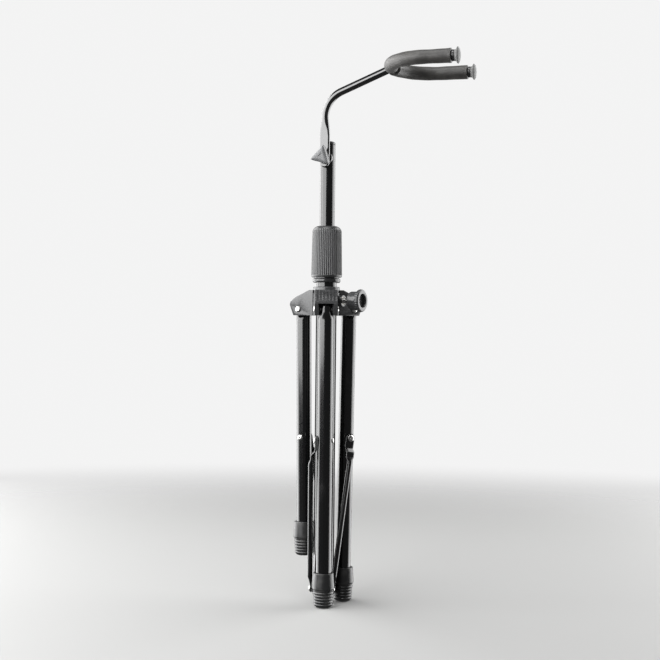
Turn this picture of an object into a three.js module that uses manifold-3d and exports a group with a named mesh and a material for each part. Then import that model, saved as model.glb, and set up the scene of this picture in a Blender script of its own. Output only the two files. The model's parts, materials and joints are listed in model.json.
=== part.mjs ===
// A folding tripod instrument stand: a two-section mast, a sliding hub with three legs and
// struts, and a bent neck that carries a foam-covered U fork. Millimetres, +Z up the mast.
// The origin is the centre of the base plug's flat bottom, and +X is the way the fork's arms point.
import * as THREE from "three";
import { mergeVertices } from "three/addons/utils/BufferGeometryUtils.js";
import Module from "manifold-3d";

const wasm = await Module();
wasm.setup();

// ---------------------------------------------------------------- driving dimensions
const GAP = 0.3; // clearance between pieces that touch

const BASE_TUBE = { radius: 11, wall: 1.5, bottom: 14.3, top: 350 };
const PLUG = { radius: 11.7, height: 14, spigotTop: 20, bossRadius: 4, bossStart: 6 };
const MAST = { radius: 8, wall: 1.2, bottom: 25, top: 480 };
const CAP_TOP = 484;

const CLUTCH = { ringRadius: 14.7, bottom: 333, ringTop: 337.6, shoulder: 352, top: 372 };
const CLUTCH_SLEEVE = { radius: 12.9, threadRadius: 11.5, boreRadius: 10 };
const GRIP = { bottom: 338.7, top: 393.3, lowRadius: 16.5, highRadius: 15.5, noseRadius: 13.3 };

const HUB = { bottom: 298, top: 328.5, radius: 14.2 };
const EAR = { outer: 12 };
const WEB = { reach: 10.3, radius: 11, top: 322 }; // hollow webs between neighbouring ears
const PIVOT = { r: 28, z: 304.5, pinRadius: 2.5, swing: 10.4 };
const LEG_MAX = 55; // degrees that a leg opens
const KNOB_Z = 313.6;
const KNOB_ANGLE = -13; // degrees round the mast

const LEG = { radius: 8, wall: 1.2, lean: 0.8, pinch: 5.5, spread: 8.6, crown: 7 };
const PINCH = { start: -11.5, end: -2.5 }; // along the leg, from the pin
const LONG_LEG = 313.1; // pivot to the sole
const SHORT_LEG = 264.5;
const FOOT = { height: 36, floor: 8.3, topRadius: 10.7, fullRadius: 11.5, soleRadius: 8.8 };
const STRUT_AT = 138; // from the hub pivot to the strut's rivet, along the leg

const STRUT = { footR: 2.5, footZ: 6.8, rodRadius: 2.75, rodOffset: 14.5 };
const STRUT_EYE = { inner: 8.3, thickness: 2.2, halfWidth: 5 };
const STRUT_TAIL = { inner: 12.3, thickness: 2, halfWidth: 3.8 };

const TILT_Z = 465.5;
const NECK_Y = -11.3; // the plane that the neck bends in
const NECK = { radius: 4, eyeBottom: 455, bendStart: 508, bendRadius: 29, bendAngle: 68 };
const EYE = { halfWidth: 5.35, halfThickness: 1.7, flatTop: 495 };
const BOLT_RADIUS = 2.9;
const BOLT_HOLE = 3.3;

const FORK = { radius: 4, bend: 43, centreX: 116, z: 557.5, armEnd: 152 };
const FOAM = { radius: 7.15, start: 5, end: 145 };
const STOP = { radius: 5.75, start: 145.4, end: 147.8 };
const CAP = { radius: 8.5, neckRadius: 5.8, start: 148.1, rim: 151.2, end: 153.5 };

const THREE_LEGS = [
  { name: "front", angle: -73, length: LONG_LEG },
  { name: "right", angle: 47, length: LONG_LEG },
  { name: "left", angle: 167, length: SHORT_LEG },
];

// ---------------------------------------------------------------- materials
function finish(color, roughness, metalness = 0) {
  return new THREE.MeshStandardMaterial({ color, roughness, metalness });
}
const blackTube = finish(0x1c1d1f, 0.25, 0.3);
const darkPlastic = finish(0x2b2d30, 0.5);
const ribbedPlastic = finish(0x26282a, 0.6);
const blackRubber = finish(0x202123, 0.75);
const brightSteel = finish(0xc9cbcc, 0.25, 1);
const greyPlastic = finish(0x6f7274, 0.45);
const capPlastic = finish(0x9a9c9d, 0.5);
const greyFoam = finish(0x3b3936, 0.95);
const brassMetal = finish(0xb58e4a, 0.35, 1);

// ---------------------------------------------------------------- solids and booleans
/** Turns a closed three.js geometry into a manifold solid with its faces out. */
function solid(geometry) {
  const bare = new THREE.BufferGeometry();
  bare.setAttribute("position", geometry.getAttribute("position").clone());
  if (geometry.index) bare.setIndex(geometry.index.clone());
  const merged = mergeVertices(bare, 1e-3);
  const corners = merged.index.array;
  const triangles = [];
  for (let i = 0; i < corners.length; i += 3) {
    const [a, b, c] = [corners[i], corners[i + 1], corners[i + 2]];
    if (a !== b && b !== c && c !== a) triangles.push(a, b, c);
  }
  const build = (list) => new wasm.Manifold(new wasm.Mesh({
    numProp: 3,
    vertProperties: new Float32Array(merged.getAttribute("position").array),
    triVerts: new Uint32Array(list),
  }));
  const body = build(triangles);
  return body.volume() > 0 ? body : build(triangles.reverse());
}

const join = (first, ...others) => others.reduce((sum, next) => sum.add(next), first);
const cut = (first, ...others) => others.reduce((rest, next) => rest.subtract(next), first);

/** Makes a named mesh from a solid. */
function piece(name, body, material) {
  const { vertProperties, triVerts, numProp } = body.getMesh();
  const positions = new Float32Array((vertProperties.length / numProp) * 3);
  for (let i = 0; i < positions.length / 3; i++) {
    for (let k = 0; k < 3; k++) positions[3 * i + k] = vertProperties[numProp * i + k];
  }
  const geometry = new THREE.BufferGeometry();
  geometry.setAttribute("position", new THREE.BufferAttribute(positions, 3));
  geometry.setIndex(new THREE.BufferAttribute(new Uint32Array(triVerts), 1));
  geometry.computeVertexNormals();
  const mesh = new THREE.Mesh(geometry, material);
  mesh.name = name;
  return mesh;
}

// ---------------------------------------------------------------- basic shapes
/** A body of revolution about Z, from [radius, height] points. */
function turnedGeometry(points, sides = 32) {
  const profile = points.map(([r, z]) => new THREE.Vector2(r, z));
  return new THREE.LatheGeometry(profile, sides).rotateX(Math.PI / 2);
}

/** A solid of revolution whose profile starts and ends on the axis. */
function turned(points, sides = 24) {
  return solid(turnedGeometry([[0, points[0][1]], ...points, [0, points.at(-1)[1]]], sides));
}

/** A ring of revolution whose profile closes on itself. */
function ring(points, sides = 28) {
  return solid(turnedGeometry([...points, points[0]], sides));
}

function rod(radius, low, high, sides = 18) {
  return turned([[radius, low], [radius, high]], sides);
}

function pipe(outer, inner, low, high, sides = 32) {
  return ring([[inner, low], [outer, low], [outer, high], [inner, high]], sides);
}

/** Turns a solid that lies along Z so that it lies along X. */
const alongX = (body) => body.rotate([0, 90, 0]);
/** Turns a solid that lies along Z so that it lies along Y. */
const alongY = (body) => body.rotate([-90, 0, 0]);

/** A plate in the plane of radius and height, thickened along the tangent from low to high. */
function plate(outline, low, high) {
  const shape = outline instanceof THREE.Shape ? outline : shapeOf(outline);
  const settings = { depth: high - low, bevelEnabled: false, curveSegments: 20 };
  const geometry = new THREE.ExtrudeGeometry(shape, settings);
  return solid(geometry.rotateX(Math.PI / 2).translate(0, high, 0));
}

function shapeOf(points) {
  return new THREE.Shape(points.map(([x, y]) => new THREE.Vector2(x, y)));
}

const discShape = (radius) => new THREE.Shape().absarc(0, 0, radius, 0, 2 * Math.PI);

/** A round section of the given radius, carried along a curve. */
function swept(curve, radius, steps, sides, holeRadius = 0) {
  const section = discShape(radius);
  if (holeRadius) section.holes.push(new THREE.Path().absarc(0, 0, holeRadius, 0, 2 * Math.PI, true));
  return solid(new THREE.ExtrudeGeometry(section, { steps, curveSegments: sides / 2, extrudePath: curve }));
}

/** Moves every corner of a geometry by a function of its place. */
function deform(geometry, change) {
  const place = geometry.getAttribute("position");
  for (let i = 0; i < place.count; i++) {
    place.setXYZ(i, ...change(place.getX(i), place.getY(i), place.getZ(i)));
  }
  return geometry;
}

const smooth = (from, to, x) => THREE.MathUtils.smoothstep(x, Math.min(from, to), Math.max(from, to));

// ---------------------------------------------------------------- lower mast
function baseTube() {
  const { radius, wall, bottom, top } = BASE_TUBE;
  return piece("base_tube", pipe(radius, radius - wall, bottom, top), blackTube);
}

const SCREW = { shank: 1.7, head: 3.2, start: 5, face: 14.6, end: 15.9 };

/** Places a shape that lies along the tangent at a leg's angle, on the strut's side of it. */
function atStrutFoot(body, angle) {
  return body.translate([STRUT.footR, 0, STRUT.footZ]).rotate([0, 0, angle]);
}

function basePlug() {
  const spigotRadius = BASE_TUBE.radius - BASE_TUBE.wall - GAP;
  const core = turned([
    [PLUG.radius - 1, 0], [PLUG.radius, 1], [PLUG.radius, PLUG.height],
    [spigotRadius, PLUG.height], [spigotRadius, PLUG.spigotTop],
  ]);
  const bossTop = STRUT_TAIL.inner - GAP;
  const bosses = THREE_LEGS.map(({ angle }) => atStrutFoot(
    alongY(rod(PLUG.bossRadius, PLUG.bossStart, bossTop)).mirror([0, 1, 0]), angle));
  const holes = THREE_LEGS.map(({ angle }) => atStrutFoot(
    alongY(rod(SCREW.shank + GAP, SCREW.start - GAP, bossTop + 1)).mirror([0, 1, 0]), angle));
  return piece("base_plug", cut(join(core, ...bosses), ...holes), darkPlastic);
}

function strutScrew({ name, angle }) {
  const { shank, head, start, face, end } = SCREW;
  const body = turned([
    [shank, start], [shank, face], [head, face], [head, end - 0.4], [head - 0.5, end],
  ], 18);
  return piece(`strut_screw_${name}`, atStrutFoot(alongY(body).mirror([0, 1, 0]), angle), brightSteel);
}

// ---------------------------------------------------------------- twist clutch
function clutchBody() {
  const { ringRadius, bottom, ringTop, shoulder, top } = CLUTCH;
  const { radius, threadRadius, boreRadius } = CLUTCH_SLEEVE;
  const tubeBore = BASE_TUBE.radius + GAP;
  const seat = BASE_TUBE.top + GAP;
  return piece("clutch_body", ring([
    [tubeBore, bottom], [ringRadius, bottom], [ringRadius, ringTop], [radius, ringTop],
    [radius, shoulder], [threadRadius, shoulder], [threadRadius, top], [boreRadius, top],
    [boreRadius, seat], [tubeBore, seat],
  ], 36), darkPlastic);
}

const COLLET = { shoulder: 376, tip: 379, tipRadius: 10.8, noseRadius: 9.4, top: 386, slit: 1.6 };

function clutchCollet() {
  const { shoulder, tip, tipRadius, noseRadius, top, slit } = COLLET;
  const bore = MAST.radius + GAP;
  const low = BASE_TUBE.top + 2;
  const outer = CLUTCH_SLEEVE.boreRadius - GAP;
  const sleeve = ring([
    [bore, low], [outer, low], [outer, shoulder], [tipRadius, tip], [noseRadius, top], [bore, top],
  ]);
  const cutter = plate([[0, low - 1], [20, low - 1], [20, top + 1], [0, top + 1]], -slit / 2, slit / 2);
  return piece("clutch_collet", cut(sleeve, cutter), darkPlastic);
}

const GRIP_CONE = { start: 374, middle: 380, middleRadius: 11.4, end: 390 };

function clutchGrip() {
  const { bottom, top, lowRadius, highRadius, noseRadius } = GRIP;
  const sleeveBore = CLUTCH_SLEEVE.radius + GAP;
  const outside = [[lowRadius - 0.8, bottom], [lowRadius, bottom + 1.5], [highRadius, top - 6],
    [highRadius - 0.8, top - 2.2], [noseRadius, top]];
  const { start, middle, middleRadius, end } = GRIP_CONE;
  const inside = [
    [MAST.radius + GAP, top], [MAST.radius + GAP, end], [middleRadius, middle],
    [sleeveBore, start], [sleeveBore, bottom],
  ];
  return piece("clutch_grip", ring([...outside, ...inside], 36), ribbedPlastic);
}

// ---------------------------------------------------------------- hub
/** The clevis seen along the leg's pin: a sloping roof over two ears. */
const CLEVIS_OUTLINE = [
  [10, 298], [34, 298], [38.5, 309], [38, 312.4], [32, 316.7], [22, 321], [14.5, 325], [10, 325],
];

/** The room for a leg's head at any angle: turned about the pin, it widens as the leg does. */
function headRoom() {
  const widths = [];
  for (const reach of [0, 3, 5, 7, 9, 11.5, 60]) {
    widths.push([reach, THREE.MathUtils.lerp(LEG.radius, LEG.pinch, pinchAmount(-reach)) + GAP + 0.1]);
  }
  const low = widths.slice(1).map(([reach, width]) => [reach, -width]);
  const high = widths.slice(1).reverse().map(([reach, width]) => [reach, width]);
  return alongY(turned([...low, ...high], 36)).translate([PIVOT.r, 0, PIVOT.z]);
}

/** The room that a leg sweeps between the ears, from folded to fully open. */
function swingRoom() {
  const open = THREE.MathUtils.degToRad(LEG_MAX - LEG.lean);
  const steps = 10;
  const outline = [[PIVOT.r - PIVOT.swing, HUB.bottom - 5]];
  for (let i = 0; i <= steps; i++) {
    const turn = Math.PI + (open - Math.PI) * (i / steps);
    outline.push([PIVOT.r + PIVOT.swing * Math.cos(turn), PIVOT.z + PIVOT.swing * Math.sin(turn)]);
  }
  const [lastR, lastZ] = outline.at(-1);
  const run = 30;
  outline.push([lastR + run * Math.sin(open), lastZ - run * Math.cos(open)]);
  outline.push([lastR + run * Math.sin(open), HUB.bottom - 5]);
  return plate(outline, -EAR.outer - 1, EAR.outer + 1).intersect(headRoom());
}

function clevis(angle) {
  const block = cut(plate(CLEVIS_OUTLINE, -EAR.outer, EAR.outer), swingRoom());
  const pinHole = alongY(rod(PIVOT.pinRadius + GAP, -20, 20)).translate([PIVOT.r, 0, PIVOT.z]);
  return cut(block, pinHole).rotate([0, 0, angle]);
}

/** A web that fills the corner between two clevises with a hollow curve; its middle lies along X. */
function web() {
  const corner = EAR.outer / Math.sin(Math.PI / 3);
  const edge = { x: corner + WEB.reach * Math.cos(Math.PI / 3), y: WEB.reach * Math.sin(Math.PI / 3) };
  const centre = edge.x + Math.sqrt(WEB.radius ** 2 - edge.y ** 2);
  const half = Math.asin(edge.y / WEB.radius);
  const steps = 10;
  const outline = [[6, 0], [edge.x - 0.9, -edge.y - 0.5]];
  for (let i = 0; i <= steps; i++) {
    const turn = half * ((2 * i) / steps - 1);
    outline.push([centre - WEB.radius * Math.cos(turn), WEB.radius * Math.sin(turn)]);
  }
  outline.push([edge.x - 0.9, edge.y + 0.5]);
  const settings = { depth: WEB.top - HUB.bottom, bevelEnabled: false };
  const prism = new THREE.ExtrudeGeometry(shapeOf(outline), settings);
  return solid(prism).translate([0, 0, HUB.bottom]);
}

const BOSS = { radius: 6, end: 21, insertRadius: 4, insertStart: 14.4 };

/** Places a body that lies along X on the knob's axis. */
const onKnobAxis = (body) => body.translate([0, 0, KNOB_Z]).rotate([0, 0, KNOB_ANGLE]);

function hubBody() {
  const { bottom, top, radius } = HUB;
  const core = turned([
    [radius - 0.6, bottom], [radius, bottom + 1], [radius, top - 0.8], [radius - 0.8, top],
  ], 48);
  const boss = onKnobAxis(alongX(rod(BOSS.radius, 10, BOSS.end)));
  const bore = rod(BASE_TUBE.radius + GAP, bottom - 1, top + 1, 48);
  const screwHole = onKnobAxis(alongX(rod(BOLT_HOLE, 5, 30)));
  const insertSeat = onKnobAxis(alongX(rod(BOSS.insertRadius + GAP, BOSS.insertStart - GAP, 30)));
  const clevises = THREE_LEGS.map(({ angle }) => clevis(angle));
  const webs = THREE_LEGS.map(({ angle }) => web().rotate([0, 0, angle + 60]));
  const body = join(core, boss, ...webs, ...clevises);
  return piece("hub_body", cut(body, bore, screwHole, insertSeat), darkPlastic);
}

function hubInsert() {
  const body = pipe(BOSS.insertRadius, BOLT_HOLE, BOSS.insertStart, BOSS.end - 0.3, 24);
  return piece("hub_insert", onKnobAxis(alongX(body)), brassMetal);
}

function brakePad() {
  return piece("brake_pad", onKnobAxis(alongX(rod(2.9, BASE_TUBE.radius + 0.4, 13))), blackRubber);
}

const LEG_PIN = { head: 3.2, face: 12.3, end: 13.4 };

function legRivet({ name, angle }) {
  const { head, face, end } = LEG_PIN;
  const pin = PIVOT.pinRadius;
  const body = turned([
    [head - 0.4, -end], [head, -end + 0.4], [head, -face], [pin, -face],
    [pin, face], [head, face], [head, end - 0.4], [head - 0.4, end],
  ], 18);
  const placed = alongY(body).translate([PIVOT.r, 0, PIVOT.z]).rotate([0, 0, angle]);
  return piece(`leg_rivet_${name}`, placed, brightSteel);
}

// ---------------------------------------------------------------- hub knob
const KNOB = { start: 29, flange: 40, end: 44.4, stemRadius: 9.75, flangeRadius: 12, recess: 7 };

function hubKnob() {
  const { start, flange, end, stemRadius, flangeRadius, recess } = KNOB;
  const body = ring([
    [BOLT_RADIUS + GAP, start], [stemRadius - 0.8, start], [stemRadius, start + 0.8], [stemRadius, flange],
    [flangeRadius, flange], [flangeRadius, end - 0.8], [flangeRadius - 0.8, end], [recess, end],
    [recess, end - 2], [BOLT_RADIUS + GAP, end - 2],
  ], 28);
  return piece("hub_knob", onKnobAxis(alongX(body)), darkPlastic);
}

function hubKnobScrew() {
  return piece("hub_knob_screw", onKnobAxis(alongX(rod(BOLT_RADIUS, 13.3, KNOB.end - 4))), brightSteel);
}

// ---------------------------------------------------------------- legs
/** Places a body whose pivot is its origin and which hangs down -Z at its leg's hinge. */
function atLegHinge(body, angle) {
  return body.rotate([0, LEG.lean, 0]).translate([PIVOT.r, 0, PIVOT.z]).rotate([0, 0, angle]);
}

/** How far a leg is pinched, from 0 to 1, at a height along it. */
function pinchAmount(z) {
  return smooth(PINCH.start, PINCH.end, z);
}

/** Flattens a tube across its tangent near the top, and spreads it the other way. */
function pinchTop(x, y, z) {
  const amount = pinchAmount(z);
  const narrow = THREE.MathUtils.lerp(1, LEG.pinch / LEG.radius, amount);
  const wide = THREE.MathUtils.lerp(1, LEG.spread / LEG.radius, amount);
  return [x * wide, y * narrow, z];
}

function legTube({ name, angle, length }) {
  const end = -(length - FOOT.floor - GAP);
  const heights = [end, PINCH.start, -10, -8.5, -7, -5.5, -4, PINCH.end, 12];
  const outer = heights.map((z) => [LEG.radius, z]);
  const inner = heights.map((z) => [LEG.radius - LEG.wall, z]).reverse();
  const profile = [...outer, ...inner];
  const tube = solid(deform(turnedGeometry([...profile, profile[0]], 20), pinchTop));
  const keep = plate([
    [-20, end - 1], [20, end - 1], [20, -8], [LEG.spread + 1, 0],
    ...crownArc(), [-LEG.spread - 1, 0], [-20, -8],
  ], -12, 12);
  const pinHole = alongY(rod(PIVOT.pinRadius + GAP, -20, 20));
  const strutHole = alongY(rod(TAIL.shank + GAP, -20, 20)).translate([0, 0, -STRUT_AT]);
  const body = cut(tube.intersect(keep), pinHole, strutHole);
  return piece(`leg_${name}`, atLegHinge(body, angle), blackTube);
}

/** The rounded crown of a leg: an arc about the pin, flat on top at the crown's height. */
function crownArc() {
  const points = [];
  const steps = 8;
  for (let i = 0; i <= steps; i++) {
    const turn = (Math.PI * i) / steps;
    points.push([LEG.spread * Math.cos(turn), Math.min(LEG.crown, LEG.spread * Math.sin(turn))]);
  }
  return points;
}

const TAIL = { shank: 2.3, head: 3.2, start: -7.9, face: 8.3, end: 9.5 };

/** The leg's half of a strut rivet: a shank through the tube, with its head on the far side. */
function rivetTail({ name, angle }) {
  const { shank, head, start, face, end } = TAIL;
  const body = turned([
    [shank, start], [shank, face], [head, face], [head, end - 0.4], [head - 0.4, end],
  ], 18);
  const placed = alongY(body).translate([0, 0, -STRUT_AT]);
  return piece(`rivet_tail_${name}`, atLegHinge(placed, angle), brightSteel);
}

function legFoot({ name, angle, length }) {
  const { height, floor, topRadius, fullRadius, soleRadius } = FOOT;
  const bore = LEG.radius + GAP;
  const body = turned([
    [soleRadius - 1.6, 0], [soleRadius, 1.4], [10.4, 4], [fullRadius, 20], [topRadius, height],
    [bore, height], [bore, floor],
  ]);
  return piece(`foot_${name}`, atLegHinge(body.translate([0, 0, -length]), angle), blackRubber);
}

// ---------------------------------------------------------------- struts
const strutTop = {
  r: PIVOT.r - STRUT_AT * Math.sin(THREE.MathUtils.degToRad(LEG.lean)),
  z: PIVOT.z - STRUT_AT * Math.cos(THREE.MathUtils.degToRad(LEG.lean)),
};
const strutRun = strutTop.r - STRUT.footR;
const strutRise = strutTop.z - STRUT.footZ;
const strutLength = Math.hypot(strutRun, strutRise);
const strutTilt = THREE.MathUtils.radToDeg(Math.atan2(strutRun, strutRise));

/** Places a body whose lower pivot is its origin and which stands up +Z at its strut's hinge. */
function atStrutHinge(body, angle) {
  return body.rotate([0, strutTilt, 0]).translate([STRUT.footR, 0, STRUT.footZ]).rotate([0, 0, angle]);
}

/** Stations up a strut: height, offset from the leg's plane, half width and half thickness. */
function strutStations() {
  const tailOffset = STRUT_TAIL.inner + STRUT_TAIL.thickness / 2;
  const eyeOffset = STRUT_EYE.inner + STRUT_EYE.thickness / 2;
  const tail = [tailOffset, STRUT_TAIL.halfWidth, STRUT_TAIL.thickness / 2];
  const round = [STRUT.rodOffset, STRUT.rodRadius, STRUT.rodRadius];
  const eye = [eyeOffset, STRUT_EYE.halfWidth, STRUT_EYE.thickness / 2];
  return [
    [-4.4, tailOffset, 1.6, STRUT_TAIL.thickness / 2], [-3.2, tailOffset, 3, STRUT_TAIL.thickness / 2],
    [-1, ...tail], [5, ...tail], [14, ...round], [strutLength - 26, ...round],
    [strutLength - 21, STRUT.rodOffset - 0.6, 3, 2.3],
    [strutLength - 15, eyeOffset + 1.4, 4.4, 1.5], [strutLength - 10, ...eye], [strutLength + 2, ...eye],
    [strutLength + 4, eyeOffset, 3.9, STRUT_EYE.thickness / 2],
    [strutLength + 5, eyeOffset, 2.2, STRUT_EYE.thickness / 2],
  ];
}

/** A squared-off circle: 1 at the sides, with flatter faces as the section gets thinner. */
const flatten = (value, power) => Math.sign(value) * Math.abs(value) ** power;

/** A bar lofted through its stations, with a flattened section wherever it is thin. */
function loftedBar(stations, sides = 16) {
  const profile = stations.map((_, index) => [1, index]);
  const geometry = turnedGeometry([[0, 0], ...profile, [0, stations.length - 1]], sides);
  const body = deform(geometry, (x, y, z) => {
    const [height, offset, halfWidth, halfThickness] = stations[Math.round(z)];
    const power = halfThickness < 0.7 * halfWidth ? 0.45 : 1;
    return [halfWidth * flatten(x, power), -offset + halfThickness * flatten(y, power), height];
  });
  return solid(body);
}

function strutBar({ name, angle }) {
  const tailHole = alongY(rod(SCREW.shank + GAP, -20, 0));
  const eyeHole = alongY(rod(HEAD.shank + GAP, -20, 0)).translate([0, 0, strutLength]);
  const body = cut(loftedBar(strutStations()), tailHole, eyeHole);
  return piece(`strut_${name}`, atStrutHinge(body, angle), blackTube);
}

const HEAD = { shank: 2, radius: 3.75, start: 8.4, face: 10.8, end: 12.1 };

/** The strut's half of its rivet, which stops short of the leg. */
function rivetHead({ name, angle }) {
  const { shank, radius, start, face, end } = HEAD;
  const body = turned([
    [shank, start], [shank, face], [radius, face], [radius, end - 0.5], [radius - 0.6, end],
  ], 18);
  const placed = alongY(body).mirror([0, 1, 0]).translate([0, 0, strutLength]);
  return piece(`rivet_head_${name}`, atStrutHinge(placed, angle), brightSteel);
}

// ---------------------------------------------------------------- upper mast
function guideBush() {
  const outer = BASE_TUBE.radius - BASE_TUBE.wall - GAP;
  const bore = MAST.radius + GAP;
  return piece("guide_bush", ring([
    [5, 22], [outer, 22], [outer, 45], [bore, 45], [bore, MAST.bottom - GAP], [5, MAST.bottom - GAP],
  ]), greyPlastic);
}

function extensionTube() {
  const { radius, wall, bottom, top } = MAST;
  const boltHole = alongY(rod(BOLT_HOLE, -20, 20)).translate([0, 0, TILT_Z]);
  return piece("extension_tube", cut(pipe(radius, radius - wall, bottom, top), boltHole), blackTube);
}

function mastCap() {
  const spigot = MAST.radius - MAST.wall - GAP;
  const seat = MAST.top + GAP;
  return piece("mast_cap", turned([
    [spigot, TILT_Z + 6], [spigot, seat], [MAST.radius, seat], [MAST.radius, CAP_TOP - 1.8],
    [MAST.radius - 0.7, CAP_TOP - 0.6], [MAST.radius - 2.4, CAP_TOP],
  ]), darkPlastic);
}

/** Places a body that lies along +Y from the tilt axis. */
const onTiltAxis = (body) => body.translate([0, 0, TILT_Z]);

const BOLT = { headRadius: 5, headFace: 8.4, headEnd: 12.2, tip: -25.5 };

function neckBolt() {
  const { headRadius, headFace, headEnd, tip } = BOLT;
  const shank = alongY(rod(BOLT_RADIUS, tip, headFace + 1));
  const head = alongY(turned([[headRadius, headFace], [headRadius, headEnd]], 6));
  return piece("neck_bolt", onTiltAxis(join(shank, head)), brightSteel);
}

function neckSaddle() {
  const disc = onTiltAxis(alongY(rod(7, -9.3, -4, 32)));
  const seat = rod(MAST.radius + GAP, TILT_Z - 20, TILT_Z + 20, 32);
  const hole = onTiltAxis(alongY(rod(BOLT_HOLE, -20, 20)));
  return piece("neck_saddle", cut(disc, seat, hole), darkPlastic);
}

// ---------------------------------------------------------------- neck and fork
/** The neck's centre line above its flattened eye: up, round the bend, then out to the fork. */
class NeckLine extends THREE.Curve {
  constructor(start) {
    super();
    this.start = start;
    this.turn = THREE.MathUtils.degToRad(NECK.bendAngle);
    this.rise = NECK.bendStart - start;
    this.arc = NECK.bendRadius * this.turn;
    const bendEndX = NECK.bendRadius * (1 - Math.cos(this.turn));
    this.reach = (FORK.centreX - FORK.bend - bendEndX) / Math.sin(this.turn);
  }
  getPoint(fraction) {
    const travel = fraction * (this.rise + this.arc + this.reach);
    const turned = THREE.MathUtils.clamp((travel - this.rise) / NECK.bendRadius, 0, this.turn);
    const beyond = Math.max(0, travel - this.rise - this.arc);
    const x = NECK.bendRadius * (1 - Math.cos(turned)) + beyond * Math.sin(this.turn);
    const z = this.start + Math.min(travel, this.rise) + NECK.bendRadius * Math.sin(turned)
      + beyond * Math.cos(this.turn);
    return new THREE.Vector3(x, NECK_Y, z);
  }
}

/** Stations up the eye: height, offset, half width and half thickness. */
function eyeStations() {
  const { halfWidth, halfThickness, flatTop } = EYE;
  const start = NECK.eyeBottom - TILT_Z;
  const flat = [-NECK_Y, halfWidth, halfThickness];
  return [
    [start, -NECK_Y, 1.8, halfThickness], [start + 1.5, -NECK_Y, 3.7, halfThickness],
    [start + 4, ...flat], [flatTop - 6 - TILT_Z, ...flat], [flatTop - TILT_Z, -NECK_Y, 5, 2.2],
    [flatTop + 6 - TILT_Z, -NECK_Y, 4.4, 3.3],
    [NECK.bendStart - 1 - TILT_Z, -NECK_Y, NECK.radius, NECK.radius],
    [NECK.bendStart - TILT_Z, -NECK_Y, NECK.radius, NECK.radius],
  ];
}

function neckRod() {
  const eye = onTiltAxis(loftedBar(eyeStations(), 16));
  const bend = swept(new NeckLine(NECK.bendStart - 2), NECK.radius - 0.02, 16, 14);
  const hole = onTiltAxis(alongY(rod(BOLT_HOLE, -20, 20)));
  const forkRoom = forkStretch(-15, 15, FORK.radius + GAP, 8);
  const body = cut(join(eye, bend), hole, forkRoom);
  return piece("neck_rod", body, blackTube);
}

/** The fork's centre line, by distance from the middle of its bend: an arc, then a straight arm. */
class ForkLine extends THREE.Curve {
  constructor(from, to) {
    super();
    this.from = from;
    this.to = to;
  }
  getPoint(fraction) {
    const travel = THREE.MathUtils.lerp(this.from, this.to, fraction);
    const turned = Math.min(Math.abs(travel) / FORK.bend, Math.PI / 2);
    const beyond = Math.max(0, Math.abs(travel) - FORK.bend * (Math.PI / 2));
    const x = FORK.centreX - FORK.bend * Math.cos(turned) + beyond;
    const y = NECK_Y + Math.sign(travel) * FORK.bend * Math.sin(turned);
    return new THREE.Vector3(x, y, FORK.z);
  }
}

/** The distance along the fork's line at which an arm reaches x. */
const armTravel = (x) => FORK.bend * (Math.PI / 2) + x - FORK.centreX;

function forkStretch(from, to, radius, steps, holeRadius = 0) {
  return swept(new ForkLine(from, to), radius, steps, 12, holeRadius);
}

function forkRod() {
  const reach = armTravel(FORK.armEnd);
  return piece("fork_rod", forkStretch(-reach, reach, FORK.radius, 36), blackTube);
}

function foamSleeve(name, side) {
  const body = forkStretch(side * FOAM.start, side * armTravel(FOAM.end), FOAM.radius, 16, FORK.radius + GAP);
  return piece(name, body, greyFoam);
}

/** Places a body that lies along X on one of the fork's arms. */
const onArm = (body, side) => body.translate([0, NECK_Y + side * FORK.bend, FORK.z]);

function foamStop(name, side) {
  const body = alongX(pipe(STOP.radius, FORK.radius + GAP, STOP.start, STOP.end));
  return piece(name, onArm(body, side), darkPlastic);
}

function endCap(name, side) {
  const body = alongX(turned([
    [FORK.radius + GAP, FORK.armEnd + GAP], [FORK.radius + GAP, CAP.start], [CAP.neckRadius, CAP.start],
    [CAP.neckRadius + 0.4, CAP.start + 1.4], [CAP.radius, CAP.rim - 0.4], [CAP.radius, CAP.rim],
    [5.5, CAP.end - 0.4], [2.5, CAP.end],
  ]));
  return piece(name, onArm(body, side), capPlastic);
}

// ---------------------------------------------------------------- neck knob
const LOBE = { count: 3, angle: 76, tip: 13, radius: 4.6, low: 18.3, high: 28 };
const LOBE_HUB = { radius: 5.6, start: 13.3 };
const LOBE_INSERT = { radius: 4.3, start: 13.6, end: 24 };

/** The knob's outline: three round lobes joined by hollow sides. */
function lobeOutline() {
  const points = [];
  const steps = 72;
  for (let i = 0; i < steps; i++) {
    const turn = (2 * Math.PI * i) / steps;
    const wave = Math.cos(LOBE.count * (turn - THREE.MathUtils.degToRad(LOBE.angle)));
    const reach = LOBE.tip - 5.4 * (0.5 - 0.5 * wave) ** 0.8;
    points.push([reach * Math.cos(turn), reach * Math.sin(turn)]);
  }
  return points;
}

function neckKnob() {
  const lobes = plate(lobeOutline(), -LOBE.high, -LOBE.low);
  const hub = alongY(rod(LOBE_HUB.radius, -LOBE.low - 1, -LOBE_HUB.start, 28));
  const seat = alongY(rod(LOBE_INSERT.radius + GAP, -LOBE_INSERT.end - GAP, 0));
  const tipRoom = alongY(rod(BOLT_HOLE, BOLT.tip - GAP, 0));
  return piece("neck_knob", onTiltAxis(cut(join(lobes, hub), seat, tipRoom)), greyPlastic);
}

function neckKnobInsert() {
  const body = pipe(LOBE_INSERT.radius, BOLT_HOLE, -LOBE_INSERT.end, -LOBE_INSERT.start, 24);
  return piece("neck_knob_insert", onTiltAxis(alongY(body)), brassMetal);
}

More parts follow.
